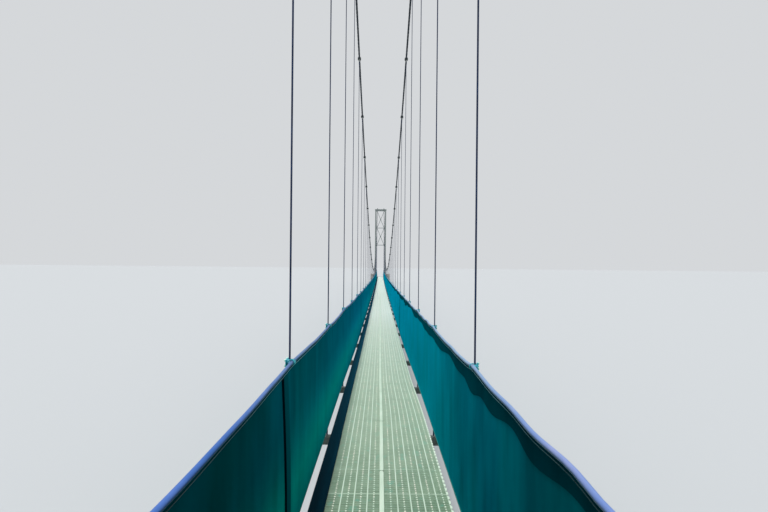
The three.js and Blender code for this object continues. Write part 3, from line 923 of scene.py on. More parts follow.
def cross_bars(y, width, height, corner):
    """Bars across the deck at places y, each in two halves. The right halves stand out."""
    halves = []
    for inner, outer, side in ((strip_inner, -middle_gap, 0), (middle_gap, edge_start, 1)):
        half = bar((inner, 0, 0), (outer, 0, 0), width, height, corner, across=(0, 1, 0))
        halves.append(copies(half, along_deck(y, side * half_gap(y), cell_floor)))
    return together(halves)


def toothed_edge(start, end):
    """The right edge: its width is the deck's, less a half circle in each tooth pitch. It
    stands out with the right half."""
    step = np.array([0.0, 0.22, 0.25, 0.33, 0.5, 0.67, 0.75, 0.78])
    first = math.ceil(start / tooth_pitch)
    last = math.floor(end / tooth_pitch)
    part = np.tile(step, last - first)
    y = np.repeat(np.arange(first, last), len(step)) * tooth_pitch + part * tooth_pitch
    bite = np.sqrt(np.clip(1 - ((part - 0.5) / 0.25) ** 2, 0, 1)) * tooth_depth
    y = np.concatenate([[start], y, [end]])
    edge = deck_half + half_gap(y) - np.concatenate([[0], bite, [0]])
    inner = edge_start + half_gap(y)
    top, bottom = np.full_like(edge, cell_floor + tooth_drop), np.full_like(edge, -grating_depth)
    corners = (inner, top), (edge, top), (edge, bottom), (inner, bottom)
    return sweep(along_deck(y), np.stack([np.stack(corner, -1) for corner in corners], 1))


print("a stud has", len(dome(*large_stud)[0]), "points")

# %% [markdown]
# ### Five lengths of grating
#
# The CAD model has the deck in five lengths, so the grating is made in the same five. In
# each, a sheet at the level of the cells' floor carries everything that stands up from it.

# %% Grating panels
rib_places = np.arange(-3, 5) * rib_pitch
rib_places = rib_places[rib_places != 0]
stud_columns = (np.arange(-4, 5) + 0.5) * rib_pitch
eased_rib = np.array([[-0.5, 0], [0.5, 0], [0.36, 1], [-0.36, 1]]) * [rib_width, -cell_floor]
floor_depth = grating_depth + cell_floor
floor_middle = (edge_start - left_half) / 2
floor_profile = oblong(left_half + edge_start, floor_depth) + [floor_middle, cell_floor - floor_depth / 2]
on_right = np.stack([floor_profile[:, 0] > 0, np.zeros(len(floor_profile))], -1)

for number in range(len(deck_cuts) - 1):
    start, end = deck_cuts[number], deck_cuts[number + 1] - cut_gap
    run = np.linspace(start, end, int((end - start) / (0.5 * metre)) + 2)
    floor_profiles = floor_profile + half_gap(run)[:, None, None] * on_right
    parts = [(sweep(along_deck(run), floor_profiles), cell_zinc)]
    for x in rib_places:
        line = along_deck(run, x + (x > 0) * half_gap(run), cell_floor)
        parts.append((sweep(line, eased_rib), worn_zinc))
    rows = np.arange(math.ceil(start / stud_step + 0.3), math.floor(end / stud_step - 0.3) + 1)
    y = rows * stud_step
    parts.append((cross_bars(y, 6 * mm, 3.6 * mm, 1.2 * mm), bar_zinc))
    for stud, turn in ((large_stud, 0), (small_stud, 1)):
        rows_here = y[(rows % 2) == turn]
        across = [x + (x > 0) * half_gap(rows_here) for x in stud_columns]
        places = np.concatenate([along_deck(rows_here, x, cell_floor - 0.5 * mm) for x in across])
        parts.append((copies(dome(*stud), places), stud_zinc))
    planks = np.arange(math.ceil(start / plank_length), math.floor(end / plank_length) + 1)
    ends = planks * plank_length
    ends = ends[(ends > start + lip_clearance) & (ends < end - lip_clearance)] - lip_inset
    parts.append((cross_bars(ends, 6 * mm, 6 * mm, 2 * mm), lip_zinc))
    parts.append((toothed_edge(start, end), worn_zinc))
    new_piece(f"grating_{number + 1}", parts, [f"deck_grating_{number + 1}"], sharp=65)

# %% [markdown]
# ## The strips on the deck
#
# A pale pressed strip marks the middle of the walkway, in lengths of 1.27 m with rounded
# ends, over the joint between the deck's halves. It could be cut from a plate with a
# Boolean. A flat section carried along the deck, which narrows at its ends, is simpler.

# %% Centre strip
strip_length = 1.27 * metre
strip_half = 18 * mm
strip_height = 6 * mm
strip_shift = 0.36
gap_before, gap_after = 2 * mm, 4 * mm
first_break = eye_place + 3.80 * metre
on_deck = 3 * mm


def rounded_length(start, end):
    """A flat strip whose half width follows a circle at both ends: sqrt(r^2 - d^2)."""
    length = end - start
    near = strip_half * (1 - np.cos(np.linspace(0, np.pi / 2, 5)))
    plain = np.linspace(strip_half, length - strip_half, 6)[1:-1]
    y = np.concatenate([near, plain, length - near[::-1]])
    reach = np.clip(strip_half - np.minimum(y, length - y), 0, strip_half)
    wide = np.maximum(np.sqrt(strip_half**2 - reach**2), 0.15 * strip_half)
    crown = np.array([[-1, 0], [1, 0], [1, 0.6], [0.9, 1], [-0.9, 1], [-1, 0.6]])
    profile = crown[None] * np.stack([wide, np.full_like(wide, strip_height)], -1)[:, None]
    return sweep(along_deck(start + y, strip_shift * half_gap(start + y), on_deck), profile)


breaks = first_break + np.arange(-4, 70) * strip_length
breaks = breaks[(breaks > deck_cuts[0]) & (breaks + strip_length < deck_cuts[-1])]
strips = [rounded_length(y + gap_before, y + strip_length - gap_after) for y in breaks]
strips.append(rounded_length(deck_cuts[0], breaks[0] - gap_after))
strips.append(rounded_length(breaks[-1] + strip_length + gap_before, deck_cuts[-1]))
run = np.linspace(deck_cuts[0], deck_cuts[-1], 100)
bed = oblong(15 * mm, 17 * mm) + [0, 0.5 * mm]
bed = sweep(along_deck(run, strip_shift * half_gap(run), cell_floor), bed)
parts = [(together(strips), centre_alloy), (bed, joint_shade)]
new_piece("centre_strip_lengths", parts, ["centre_strip"], 50)

# %% [markdown]
# ## The painted shadow on the left edge
#
# Along the left edge lies a dark strip that is painted shadow, where the left screen's
# shadow falls on the deck. It is laid in 3 m lengths, every other one 3 mm wider, and each
# is a flat section with rounded corners.

# %% Painted shadow along the left edge
shadow_strip_length = 3 * metre
shadow_strip_height = 8 * mm
first_shadow_joint = eye_place + 4.67 * metre
shadow_strip_cuts = first_shadow_joint + np.arange(26) * shadow_strip_length
shadow_strip_cuts = np.concatenate([[deck_cuts[0]], shadow_strip_cuts, [deck_cuts[-1]]])
shadow_strips = []
for number, (start, end) in enumerate(zip(shadow_strip_cuts[:-1], shadow_strip_cuts[1:])):
    run = np.linspace(start, end - 2 * mm, 8)
    inner = strip_inner - (number % 2) * 3 * mm
    flat = oblong(inner + left_half, shadow_strip_height, 2.5 * mm, 2)
    shadow_strips.append(sweep(along_deck(run, 0, on_deck), flat + [(inner - left_half) / 2, shadow_strip_height / 2]))
new_piece("left_screen_painted_shadow_lengths", [(together(shadow_strips), left_screen_shadow)], ["left_edge_strip"], 50)

# %% [markdown]
# ## The screens of net
#
# Shade cloth is held by its edges: laced to the handrail above and to a rope at the deck
# below. Its foot lies just under the deck's top, and is drawn up towards a landing.
# Between its edges it bellies a little and drops in upright folds from each tie. A cloth
# simulation would give the same belly, but over eighty metres of taut cloth the folds are
# small and regular. So each screen is a surface worked out from where it is along the
# bridge and up the net, with a back 3 mm behind it.

# %% Surface of a screen
net_place = 556 * mm
cloth_thickness = 3 * mm
net_top = 9 * mm
slow_wave = 3.7 * metre
fold_pitch = 0.4 * metre


def thin_sheet(front, depth):
    """A closed sheet from a grid of front points and the same grid moved by `depth`. Each
    row of the grid goes up the front and down the back as one ring."""
    rows, columns = front.shape[:2]
    ring = np.concatenate([front, (front + depth)[:, ::-1]], 1)
    faces = [grid_faces(rows, 2 * columns)]
    i = np.arange(columns - 1)
    cap = np.stack([i, i + 1, 2 * columns - 2 - i, 2 * columns - 1 - i], -1)
    faces += [cap[:, ::-1], cap + (rows - 1) * 2 * columns]
    return turned_out((ring.reshape(-1, 3), faces))


def net_belly(y, v):
    """How far a screen stands inwards: a belly of sin(pi v) that swells in each bay and in
    broad slow waves, and upright folds that start at the ties and fade down the cloth."""
    swell = 4 + 2 * np.cos(2 * np.pi * y / bay) + 2 * np.sin(2 * np.pi * y / slow_wave)
    folds = 1.5 * np.sin(2 * np.pi * y / fold_pitch + 2 * np.sin(y / metre)) * (0.25 + 0.75 * v**3)
    return (np.sin(np.pi * v) * swell + folds * np.sin(np.pi * np.clip(v * 1.05, 0, 1)) ** 0.5) * mm


def net_height(y, side):
    """Height of a screen from its foot to its head."""
    return rail_level(y, side) - net_top - net_foot(y)


def net_grid(side, y, v, inset=0.0):
    """Points of a screen at places y along the bridge and v up the cloth, from 0 to 1."""
    y, v = np.broadcast_arrays(y, v)
    x = side * (net_place - cloth_thickness / 2 - inset - net_belly(y, v))
    return np.stack([x, y, net_foot(y) + v * net_height(y, side)], -1)


swollen = net_belly(np.linspace(-half_span, half_span, 4000), 0.5)
print("a screen bellies by up to", round(float(swollen.max()) / mm, 1), "mm")

# %% [markdown]
# ### Three screens a side
#
# The CAD model has the net of each side in three lengths, so each side gets three sheets.

# %% Net screens
net_cuts = np.array([-39.8, -13, 13, 39.8]) * metre
net_names = ("near", "middle", "far")
both_sides = (("left", -1), ("right", 1))
for (label, side), cloth in zip(both_sides, (net_left, net_right)):
    for number, name in enumerate(net_names):
        start, end = net_cuts[number], net_cuts[number + 1] - cut_gap
        y = np.linspace(start, end, int((end - start) / (100 * mm)) + 1)[:, None]
        v = np.linspace(0, 1, 13)[None]
        screen = thin_sheet(net_grid(side, y, v), (side * cloth_thickness, 0, 0))
        node = f"{label}_net_screen_{number + 1}"
        piece = new_piece(f"{label}_screen_{name}", [(screen, cloth)], [node], 80)
        high = float(np.mean(net_height(y, side)))

# %% [markdown]
# ## The right rail's painted shadow
#
# A dark sheet lies just inside the right screen along its top. It is painted shadow: the
# shade that the handrail casts on the cloth where the sun grazes it. Its lower edge swings
# between one turning point and the next, as half a cosine, which rounds every lump. The
# points were measured at the near end, and from there they repeat.

# %% Painted shadow of the right rail
# Metres past the eye, millimetres down.
rail_shadow_turns = np.array(
    [(0.0, 40), (0.9, 45), (1.2, 62), (1.65, 99), (1.88, 68), (2.25, 112), (2.44, 103), (2.70, 152)]
    + [(2.97, 99), (3.2, 102), (3.6, 69), (4.2, 115), (4.7, 106), (5.3, 120), (6.1, 83), (7.2, 114)]
    + [(8.1, 45)]
)
repeat_from, repeat_to = 0.9, 8.1


def rail_shadow_depth(y):
    """Depth of the rail's painted shadow: half a cosine from one turning point to the next."""
    along = (y - eye_place) / metre
    again = repeat_from + (along - repeat_from) % (repeat_to - repeat_from)
    return eased_turns(rail_shadow_turns, np.where(along < repeat_to, np.maximum(along, 0), again)) * mm


for number, name in enumerate(net_names):
    start, end = net_cuts[number], net_cuts[number + 1] - cut_gap
    y = np.linspace(start, end, int((end - start) / (45 * mm)) + 1)
    share = 1 - rail_shadow_depth(y) / net_height(y, 1)
    v = share[:, None] + (1 - share[:, None]) * np.linspace(0, 1, 4)[None]
    band = thin_sheet(net_grid(1, y[:, None], v, inset=2.5 * mm), (1.5 * mm, 0, 0))
    piece = new_piece(f"right_doubled_band_{name}", [(band, rail_shadow_cloth)], (), 80)

# %% [markdown]
# ## Laps and hems
#
# Where one roll of cloth ends and the next begins they lap, which shows as a dark upright
# line that leans a little. A thread is sewn along the top of each screen, and a hem runs
# along its foot. All of them lie a few millimetres off the screen's own surface, so they
# are worked out from the same function.

# %% Laps, hems and threads
lap_width = 52 * mm
overlap_width = 110 * mm
lap_lean = 125 * mm
roll_length = 10 * metre
thread_drop = 15 * mm
first_laps = eye_place + np.array([2.42, 12.4]) * metre
v = np.linspace(0, 0.99, 25)[None]

for (label, side), first_lap in zip(both_sides, first_laps):
    starts = first_lap + np.arange(8) * roll_length
    starts = starts[starts + lap_lean + lap_width + overlap_width <= net_cuts[-1]]
    seams = []
    # A nearly black line at the lap, and beside it two layers painted darker as painted shade.
    for start, width, lift, cloth in (
        (0, lap_width, 2 * mm, net_lap),
        (lap_width, overlap_width, 1.2 * mm, overlap_shade_cloth),
    ):
        across = start + lap_lean * (1 - v) + np.linspace(0, width, 5)[:, None]
        laps = [thin_sheet(net_grid(side, at + across, v, lift), (side * 1 * mm, 0, 0)) for at in starts]
        seams.append((together(laps), cloth))
    new_piece(f"{label}_lap_seams", seams, (), 80)

    run = np.arange(net_cuts[0], net_cuts[-1], 80 * mm)
    foot = net_grid(side, run, 0.0) + [side * 1.5 * mm, 0, 2 * mm]
    hem = sweep(foot, oblong(11 * mm, 13 * mm, 3 * mm, 1))
    sewn = net_grid(side, run, 1 - thread_drop / net_height(run, side), inset=3 * mm)
    thread = sweep(sewn, circle(2 * mm, 6))
    new_piece(f"{label}_hems", [(hem, net_hem), (thread, hem_thread)], (), 60)

# %% [markdown]
# ## Handrails
#
# A handrail is a wire rope in a plastic sheath that comes in lengths. At each clamp two
# lengths meet, and their ends swell into a collar. Carrying one circle along the rail's
# line, with a radius that changes along each bay, gives rail and collars in one surface.

# %% Handrail sheaths
rail_place = 554 * mm
rail_radius = 11 * mm
bays = 40
# Where the radius changes in a bay: share of the bay, share of the radius.
collar = np.array([(0, 0.72), (0.009, 0.72), (0.011, 1.16), (0.03, 1.18), (0.036, 1.0)])
plain = np.linspace(0.07, 0.93, 25)
bay_parts = np.concatenate([collar[:, 0], plain, 1 - collar[:0:-1, 0]])
bay_swell = np.concatenate([collar[:, 1], np.ones_like(plain), collar[:0:-1, 1]])
rail_y = (np.repeat(np.arange(bays), len(bay_parts)) + np.tile(bay_parts, bays)) * bay - half_span
rail_y = np.append(rail_y, half_span)
rail_swell = np.append(np.tile(bay_swell, bays), collar[0, 1])

for (label, side), sheath in zip(both_sides, (shaded_left_sheath, sunlit_right_sheath)):
    line = np.stack([np.full_like(rail_y, side * rail_place), rail_y, rail_level(rail_y, side)], -1)
    rail = sweep(line, circle(rail_radius, 16), rail_swell)
    node = f"{label}_handrail_and_hangers"
    new_piece(f"{label}_rail_sheath", [(rail, sheath)], [node], 50)

# %% [markdown]
# ## Clamps at the handrail
#
# The rail is clamped to every hanger and end post. A small block grips the hanger, a flat
# bracket reaches outwards from it, and a U-bolt goes round the rail. On the left side two
# U-bolts cross over the rail in an X. The right side has one, and its nuts show bright
# outside the hanger. These shapes are made round the rail's middle, on the right side, and
# mirrored for the left.

# %% Moves, mirror images, nuts and U-bolts
bolt_bend = 16.5 * mm
bolt_reach = 34 * mm


def moved(shape, offset):
    """The shape moved by an offset."""
    return shape[0] + np.asarray(offset, float), shape[1]


def mirrored(shape, side, axis=0):
    """The shape as it is for side 1, and for side -1 its mirror image across the axis, with
    its faces turned back to point outwards."""
    points, faces = shape
    if side > 0:
        return shape
    return points * np.where(np.arange(3) == axis, -1, 1), [c[:, ::-1] for c in faces]


def nut(radius, height, direction=(0, 0, 1), across=(1, 0, 0)):
    """A six-sided nut with its middle at the origin."""
    direction = np.asarray(direction, float)
    return sweep([-direction * height / 2, direction * height / 2], circle(radius, 6), across=across)


def u_bolt(lean, rod):
    """A rod round the rail: a half circle on its inner side and two straight legs outwards.
    It slants along the bridge by `lean` for each unit of reach from the rail's middle."""
    angle = np.linspace(np.pi / 2, 3 * np.pi / 2, 11)
    bend = np.stack([bolt_bend * np.cos(angle), 0 * angle, bolt_bend * np.sin(angle)], -1)
    path = np.vstack([[bolt_reach, 0, bolt_bend], bend, [bolt_reach, 0, -bolt_bend]])
    path[:, 1] += lean * path[:, 0]
    return sweep(path, circle(rod, 8), across=(0, 1, 0))


print("a U-bolt has", len(u_bolt(0.0, 3 * mm)[0]), "points")

# %% [markdown]
# ### One clamp, copied along the rail
#
# A clamp's parts are put together once for a side, and copied to every support as one
# array, so all the clamps of a side are one mesh.

# %% Rail clamps
clamp_nut_size = (7.5 * mm, 7 * mm)
bolt_leans = ((-0.8, 0.8), (0.0,))
bolt_rods = (4.5 * mm, 3 * mm)
foot_place, foot_half_height = 32 * mm, 22 * mm
grip = bar((-10 * mm, 0, 0), (10 * mm, 0, 0), 30 * mm, 24 * mm, 5 * mm, across=(0, 1, 0))
grip = moved(grip, (20 * mm, 0, 0))
bracket = bar((14 * mm, 0, 3 * mm), (36 * mm, 0, 3 * mm), 40 * mm, 6 * mm, 2 * mm, across=(0, 1, 0))
for (label, side), leans, rod in zip(both_sides, bolt_leans, bolt_rods):
    foot_width = 2 * (leans[-1] * bolt_reach + 10 * mm)
    low, high = (foot_place, 0, -foot_half_height), (foot_place, 0, foot_half_height)
    bracket_foot = bar(low, high, 6 * mm, foot_width, 2 * mm)
    body, nuts = [grip, bracket, bracket_foot], []
    for lean in leans:
        body.append(u_bolt(lean, rod))
        for up in (-1, 1):
            small = nut(*clamp_nut_size, (1, 0, 0), (0, 1, 0))
            nuts.append(moved(small, (bolt_reach + 3 * mm, lean * bolt_reach, up * bolt_bend)))
    places = np.stack([np.full_like(supports, side * rail_place), supports, rail_level(supports, side)], -1)
    body, nuts = (copies(mirrored(together(shapes), side), places) for shapes in (body, nuts))
    new_piece(f"{label}_rail_clamps", [(body, clamp_paint), (nuts, clamp_nut)], (), 50)

# %% [markdown]
# ## Hangers
#
# A hanger is a thin wire rope. It comes down from a band on the main rope, through the rail
# clamp, to an eye on the cross beam, and its ends are swaged: a longer, thicker sleeve is
# pressed onto each. Fine strands on all of them would cost more faces than the whole deck,
# so a hanger is smooth and its material has slanted bands for strands.

# %% Hangers, their sleeves and feet
hanger_place = 569 * mm
hanger_radius = 6 * mm
cable_radius = 22 * mm
band_drop = 50 * mm
cable_slope = 2 * rope_rise / half_span**2
sleeve_length = 110 * mm


def hanger(x, y, low, high):
    """A rope from low to high, with a swaged sleeve and a neck at both ends."""
    part = np.array([0, 0.06, 0.94, 1.0]) * sleeve_length
    z = np.concatenate([low + part, high - part[::-1]])
    swell = np.array([1.25, 1.5, 1.5, 1.0, 1.0, 1.5, 1.5, 1.25])
    path = np.stack([np.full_like(z, x), np.full_like(z, y), z], -1)
    return sweep(path, circle(hanger_radius, 10), swell)


feet = deck_level(hangers) - grating_depth
tops = cable_level(hangers) - cable_radius * np.hypot(1, cable_slope * hangers)
eye = together([nut(13 * mm, 8 * mm), moved(nut(9 * mm, 22 * mm), (0, 0, 10 * mm))])
eye = moved(eye, (0, 0, 5 * mm))
for label, side in both_sides:
    x = side * hanger_place
    ropes = [hanger(x, y, foot, top - band_drop + 6 * mm) for y, foot, top in zip(hangers, feet, tops)]
    eyes = copies(eye, np.stack([np.full_like(hangers, x), hangers, feet], -1))
    parts = [(together(ropes), hanger_rope), (eyes, bolt_zinc)]
    new_piece(f"{label}_hanger_ropes", parts, [f"{label}_handrail_and_hangers"], 50)

# %% [markdown]
# ## Bands on the main ropes
#
# Each hanger is hung from a clamp band: two half shells bolted round the main rope, with a
# lug under them. The bands lie along the rope, so each copy is tilted to the rope's slope
# there, while its lug hangs straight down.

# %% Cable bands
shell_y = np.array([-30, -29, -24, 24, 29, 30]) * mm
shell_swell = np.array([0.8, 0.95, 1, 1, 0.95, 0.8])
shell = sweep(np.stack([0 * shell_y, shell_y, 0 * shell_y], -1), circle(30 * mm, 12), shell_swell)
flange_place = 30 * mm
band_parts = [shell]
for x in (-flange_place, flange_place):
    for y in (-16 * mm, 16 * mm):
        band_parts.append(moved(nut(6 * mm, 66 * mm), (x, y, 0)))
for x in (-flange_place, flange_place):
    band_parts.append(bar((x, -28 * mm, 0), (x, 28 * mm, 0), 20 * mm, 16 * mm, 2 * mm))
lug = bar((0, 0, -band_drop - 22 * mm), (0, 0, -18 * mm), 12 * mm, 40 * mm, 2 * mm)
pin = moved(nut(8 * mm, 40 * mm, (1, 0, 0), (0, 1, 0)), (0, 0, -band_drop - 12 * mm))

for label, side in both_sides:
    centres = [np.full_like(hangers, side * hanger_place), hangers, cable_level(hangers)]
    centres = np.stack(centres, -1)
    shells = copies(together(band_parts), centres, np.arctan(cable_slope * hangers))
    lugs = copies(together([lug, pin]), centres)
    new_piece(f"{label}_cable_bands", [(shells, cast_steel), (lugs, bolt_zinc)], (), 50)

# %% [markdown]
# ## End posts and rail ends
#
# At each end of the bridge a post stands up from the last cross beam, outside the rail.
# Beyond it the rail is made fast to the tower's leg by a short bar and a plate.

# %% End posts and rail ends
post_place = 583 * mm
post_radius = 20 * mm
plate_place, leg_face = 731 * mm, 737 * mm
rail_end_inset = 17 * mm

for label, side in both_sides:
    ends = []
    for end in (-1, 1):
        x, y = side * post_place, end * last_support
        foot, rail = deck_level(y) - grating_depth, float(rail_level(y, side))
        heights = np.array([foot, foot + 6 * mm, rail - 8 * mm, rail + 4 * mm, rail + 10 * mm])
        post = np.stack([np.full(5, x), np.full(5, y), heights], -1)
        ends.append(sweep(post, circle(post_radius, 16), np.array([1, 1, 1, 1, 0.7])))
        ends.append(bar((x, y, foot), (x, y, foot + 8 * mm), 70 * mm, 60 * mm, 4 * mm))
        y, z = end * (half_span - rail_end_inset), float(rail_level(end * half_span, side))
        inner, outer = (side * (rail_place - 4 * mm), y, z), (side * leg_face, y, z)
        ends.append(bar(inner, outer, 30 * mm, 30 * mm, 5 * mm, across=(0, 1, 0)))
        x = side * plate_place
        ends.append(bar((x, y, z - 45 * mm), (x, y, z + 45 * mm), 12 * mm, 34 * mm, 2 * mm))
    new_piece(f"{label}_posts_and_rail_ends", [(together(ends), tower_zinc)], (), 50)

# %% [markdown]
# ## Main ropes
#
# Each main rope runs from one anchor block up over a saddle, down to mid-span, up again
# and down to the other block. Its six strands are real: a section with six lobes that
# turns along the rope. First comes the line that it follows, with a point every 50 mm.

# %% Line of a main rope
saddle_top = np.array([hanger_place, half_span, cable_level(half_span)])
saddle_half = 140 * mm
rope_in_saddle = 17.5 * mm
block_inner = half_span + 14 * metre
block_height, block_lip = 1.2 * metre, 0.2 * metre
anchor_spread = 1.3 * metre
face_slope = math.atan2(saddle_top[2] - block_height / 2, block_inner - half_span)
face_run = (block_height - block_lip) * math.tan(face_slope)
face_middle = np.array([anchor_spread, block_inner + face_run / 2, (block_height + block_lip) / 2])
stay_length = float(np.linalg.norm(face_middle - saddle_top))
stay_line = (face_middle - saddle_top) / stay_length
socket_length = 500 * mm
rope_step = 50 * mm


def even_points(path, step):
    """Points at even distances along a polyline, by interpolating against its length."""
    gone = np.append(0, np.cumsum(np.linalg.norm(np.diff(path, axis=0), axis=1)))
    at = np.linspace(0, gone[-1], round(gone[-1] / step) + 1)
    return np.stack([np.interp(at, gone, path[:, i]) for i in range(3)], -1), at


stay_end = saddle_top + stay_line * (stay_length - socket_length - 3 * mm)
stay_saddle = saddle_top + stay_line * saddle_half
crown = saddle_top - [0, 0, rope_in_saddle]
far_half = np.array([crown, stay_saddle, stay_end])
near_half = far_half[::-1] * [1, -1, 1]
span_y = np.linspace(-half_span + saddle_half, half_span - saddle_half, 400)
span = np.stack([np.full_like(span_y, hanger_place), span_y, cable_level(span_y)], -1)
rope_line, rope_gone = even_points(np.vstack([near_half, span, far_half]), rope_step)
print("a main rope is", round(float(rope_gone[-1]) / metre, 1), "real metres long")

# %% [markdown]
# ### Strands round the line
#
# A short moving average bends the line smoothly over the saddles. The real lay is about
# 300 mm. It is drawn at 600 mm, as coarse as it needs to be to show.

# %% Main ropes
rope_lay = 600 * mm
kernel = np.ones(5) / 5
eased = np.stack([np.convolve(rope_line[:, i], kernel, "same") for i in range(3)], -1)
rope_line[2:-2] = eased[2:-2]
rope = sweep(rope_line, circle(cable_radius, 12, 0.1, 6), turn=2 * np.pi * rope_gone / rope_lay)
for label, side in both_sides:
    new_piece(f"{label}_main_rope", [(mirrored(rope, side), main_rope)], [f"{label}_main_cable"], 80)

# %% [markdown]
# ## Tower legs
#
# A tower is a portal of square steel tube: two legs on base plates, a beam across their
# tops and braces between them. The CAD legs are plain blocks. They are replaced by tube
# with rounded corners and collars at its joints, a base plate with gussets over it, anchor
# bolts and a cap. The gussets and one bolt come first.

# %% Gussets and an anchor bolt
leg_half = 120 * mm


def gusset(size, thickness):
    """A triangular plate: an outline in the upright plane, carried through its thickness."""
    outline = np.array([[0, 0], [size, 0], [size * 0.2, size], [0, size]])
    sides = [np.c_[outline[:, 0], np.full(4, y), outline[:, 1]] for y in (-thickness / 2, thickness / 2)]
    ring = np.arange(4)
    rims = np.stack([ring, (ring + 1) % 4, (ring + 1) % 4 + 4, ring + 4], -1)
    return turned_out((np.concatenate(sides), [rims, ring[None, ::-1], ring[None] + 4]))


def quarter_turns(shape):
    """The shape at four quarter turns about Z."""
    points, faces = shape
    turned = []
    for c, s in ((1, 0), (0, 1), (-1, 0), (0, -1)):
        turned.append((points @ np.array([[c, s, 0], [-s, c, 0], [0, 0, 1]]), faces))
    return together(turned)


fins = quarter_turns(moved(gusset(75 * mm, 10 * mm), (leg_half - 6 * mm, 0, 0)))
washer, rod = nut(26 * mm, 5 * mm), moved(nut(9 * mm, 34 * mm), (0, 0, 8 * mm))
anchor_bolt = together([nut(18 * mm, 16 * mm), rod, washer])
print("an anchor bolt has", len(anchor_bolt[0]), "points, and four gussets have", len(fins[0]))

# %% [markdown]
# ### Four legs
#
# The four legs are alike, and only their places differ. Each takes its place and its height
# from the box of the CAD node that it stands for, so it fits whatever the model says.

# %% Tower legs
foot_half = 200 * mm
plate_depth = 30 * mm
cap_depth = 20 * mm
tube_corner = 26 * mm
bolt_place = 168 * mm
collar_levels = np.arange(3, 12, 3) * metre


def box_ends(node):
    """The lowest and the highest corner of a CAD node's box."""
    return (np.array(corner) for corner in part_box(node))


for end in ("near", "far"):
    for label, side in both_sides:
        node = f"{end}_tower_{label}_leg"
        low, high = box_ends(node)
        x, y = (low[:2] + high[:2]) / 2
        top, bottom = high[2], low[2]
        on_plate = bottom + plate_depth
        tube = oblong(2 * leg_half - 8 * mm, 2 * leg_half - 8 * mm, tube_corner, 4)
        steel = [
            sweep([(x, y, on_plate), (x, y, top - cap_depth)], tube),
            bar((x, y, bottom), (x, y, on_plate), 2 * foot_half, 2 * foot_half, 8 * mm),
            bar((x, y, top - cap_depth), (x, y, top), 2 * leg_half, 2 * leg_half, 6 * mm),
        ]
        for z in collar_levels:
            steel.append(bar((x, y, z), (x, y, z + 12 * mm), 2 * leg_half, 2 * leg_half, tube_corner))
        steel.append(moved(fins, (x, y, on_plate)))
        corners = [(a * bolt_place, b * bolt_place, 5 * mm) for a in (-1, 1) for b in (-1, 1)]
        bolts = copies(anchor_bolt, np.array(corners) + [x, y, on_plate])
        parts = [(together(steel), tower_zinc), (bolts, bolt_zinc)]
        new_piece(f"{end}_{label}_tower_leg", parts, [node], 50)

# %% [markdown]
# ## Tower beams
#
# The beam across a tower's legs is a rectangular tube with a plate on each end. Thin
# collars stand at the legs' inner edges, under the saddles and on either side of the
# middle, as welded stiffeners do.

# %% Tower beams
end_plate = 14 * mm
stiffener_places = np.array([-740, -569, -395, 395, 569, 740]) * mm
for end in ("near", "far"):
    node = f"{end}_tower_top_beam"
    low, high = box_ends(node)
    y, z = (low[1:] + high[1:]) / 2
    width, depth = high[1:] - low[1:]
    tube = oblong(width - 6 * mm, depth, 30 * mm, 4)
    beam = [sweep([(low[0] + 12 * mm, y, z), (high[0] - 12 * mm, y, z)], tube, across=(0, 1, 0))]
    for x in (low[0], high[0] - end_plate):
        beam.append(bar((x, y, z), (x + end_plate, y, z), width, depth, 8 * mm, across=(0, 1, 0)))
    for x in stiffener_places:
        flat = (width, depth - 1 * mm, 14 * mm)
        beam.append(bar((x, y, z), (x + 12 * mm, y, z), *flat, across=(0, 1, 0)))
    new_piece(f"{end}_tower_beam", [(together(beam), tower_zinc)], [node], 50)

# %% [markdown]
# ## Brace plates
#
# Small fasteners are what give big steel its scale. Bolted plates hold the ends of the
# braces beside the legs, on both faces of a tower, and a square plate covers each crossing
# of two braces.

# %% Brace plates
plate_levels = 3
brace_plate_place = 655 * mm
brace_plate = (160 * mm, 260 * mm, 14 * mm)
crossing_plate = (200 * mm, 200 * mm, 30 * mm)
for end in ("near", "far"):
    low, high = box_ends(f"{end}_tower_bracing")
    middle = (low[1] + high[1]) / 2
    levels = np.linspace(low[2] + 50 * mm, high[2] - 50 * mm, plate_levels)
    plates, bolts = [], []
    for side in (-1, 1):
        x = side * brace_plate_place
        for z in levels:
            for face in (-1, 1):
                y = middle + face * 58 * mm
                plates.append(bar((x, y - 5 * mm, z), (x, y + 5 * mm, z), *brace_plate))
                for a in (-50 * mm, 50 * mm):
                    for b in (-85 * mm, 0, 85 * mm):
                        bolts.append((x + a, y + face * 9 * mm, z + b))
    for z in (levels[:-1] + levels[1:]) / 2:
        for face in (-1, 1):
            inner, outer = (0, middle + face * 47 * mm, z), (0, middle + face * 55 * mm, z)
            plates.append(bar(inner, outer, *crossing_plate))
    heads = copies(nut(13 * mm, 10 * mm, (0, 1, 0)), bolts)
    parts = [(together(plates), tower_zinc), (heads, bolt_zinc)]
    new_piece(f"{end}_brace_plates", parts, (), 50)

# %% [markdown]
# ## Saddle bolts
#
# The rope lies in a saddle between two cheeks. Two bolts cross the saddle under the rope
# and hold the cheeks to its bed, with a nut outside each cheek. They are placed from the
# top of the saddle's box, since the CAD model's cheeks end there.

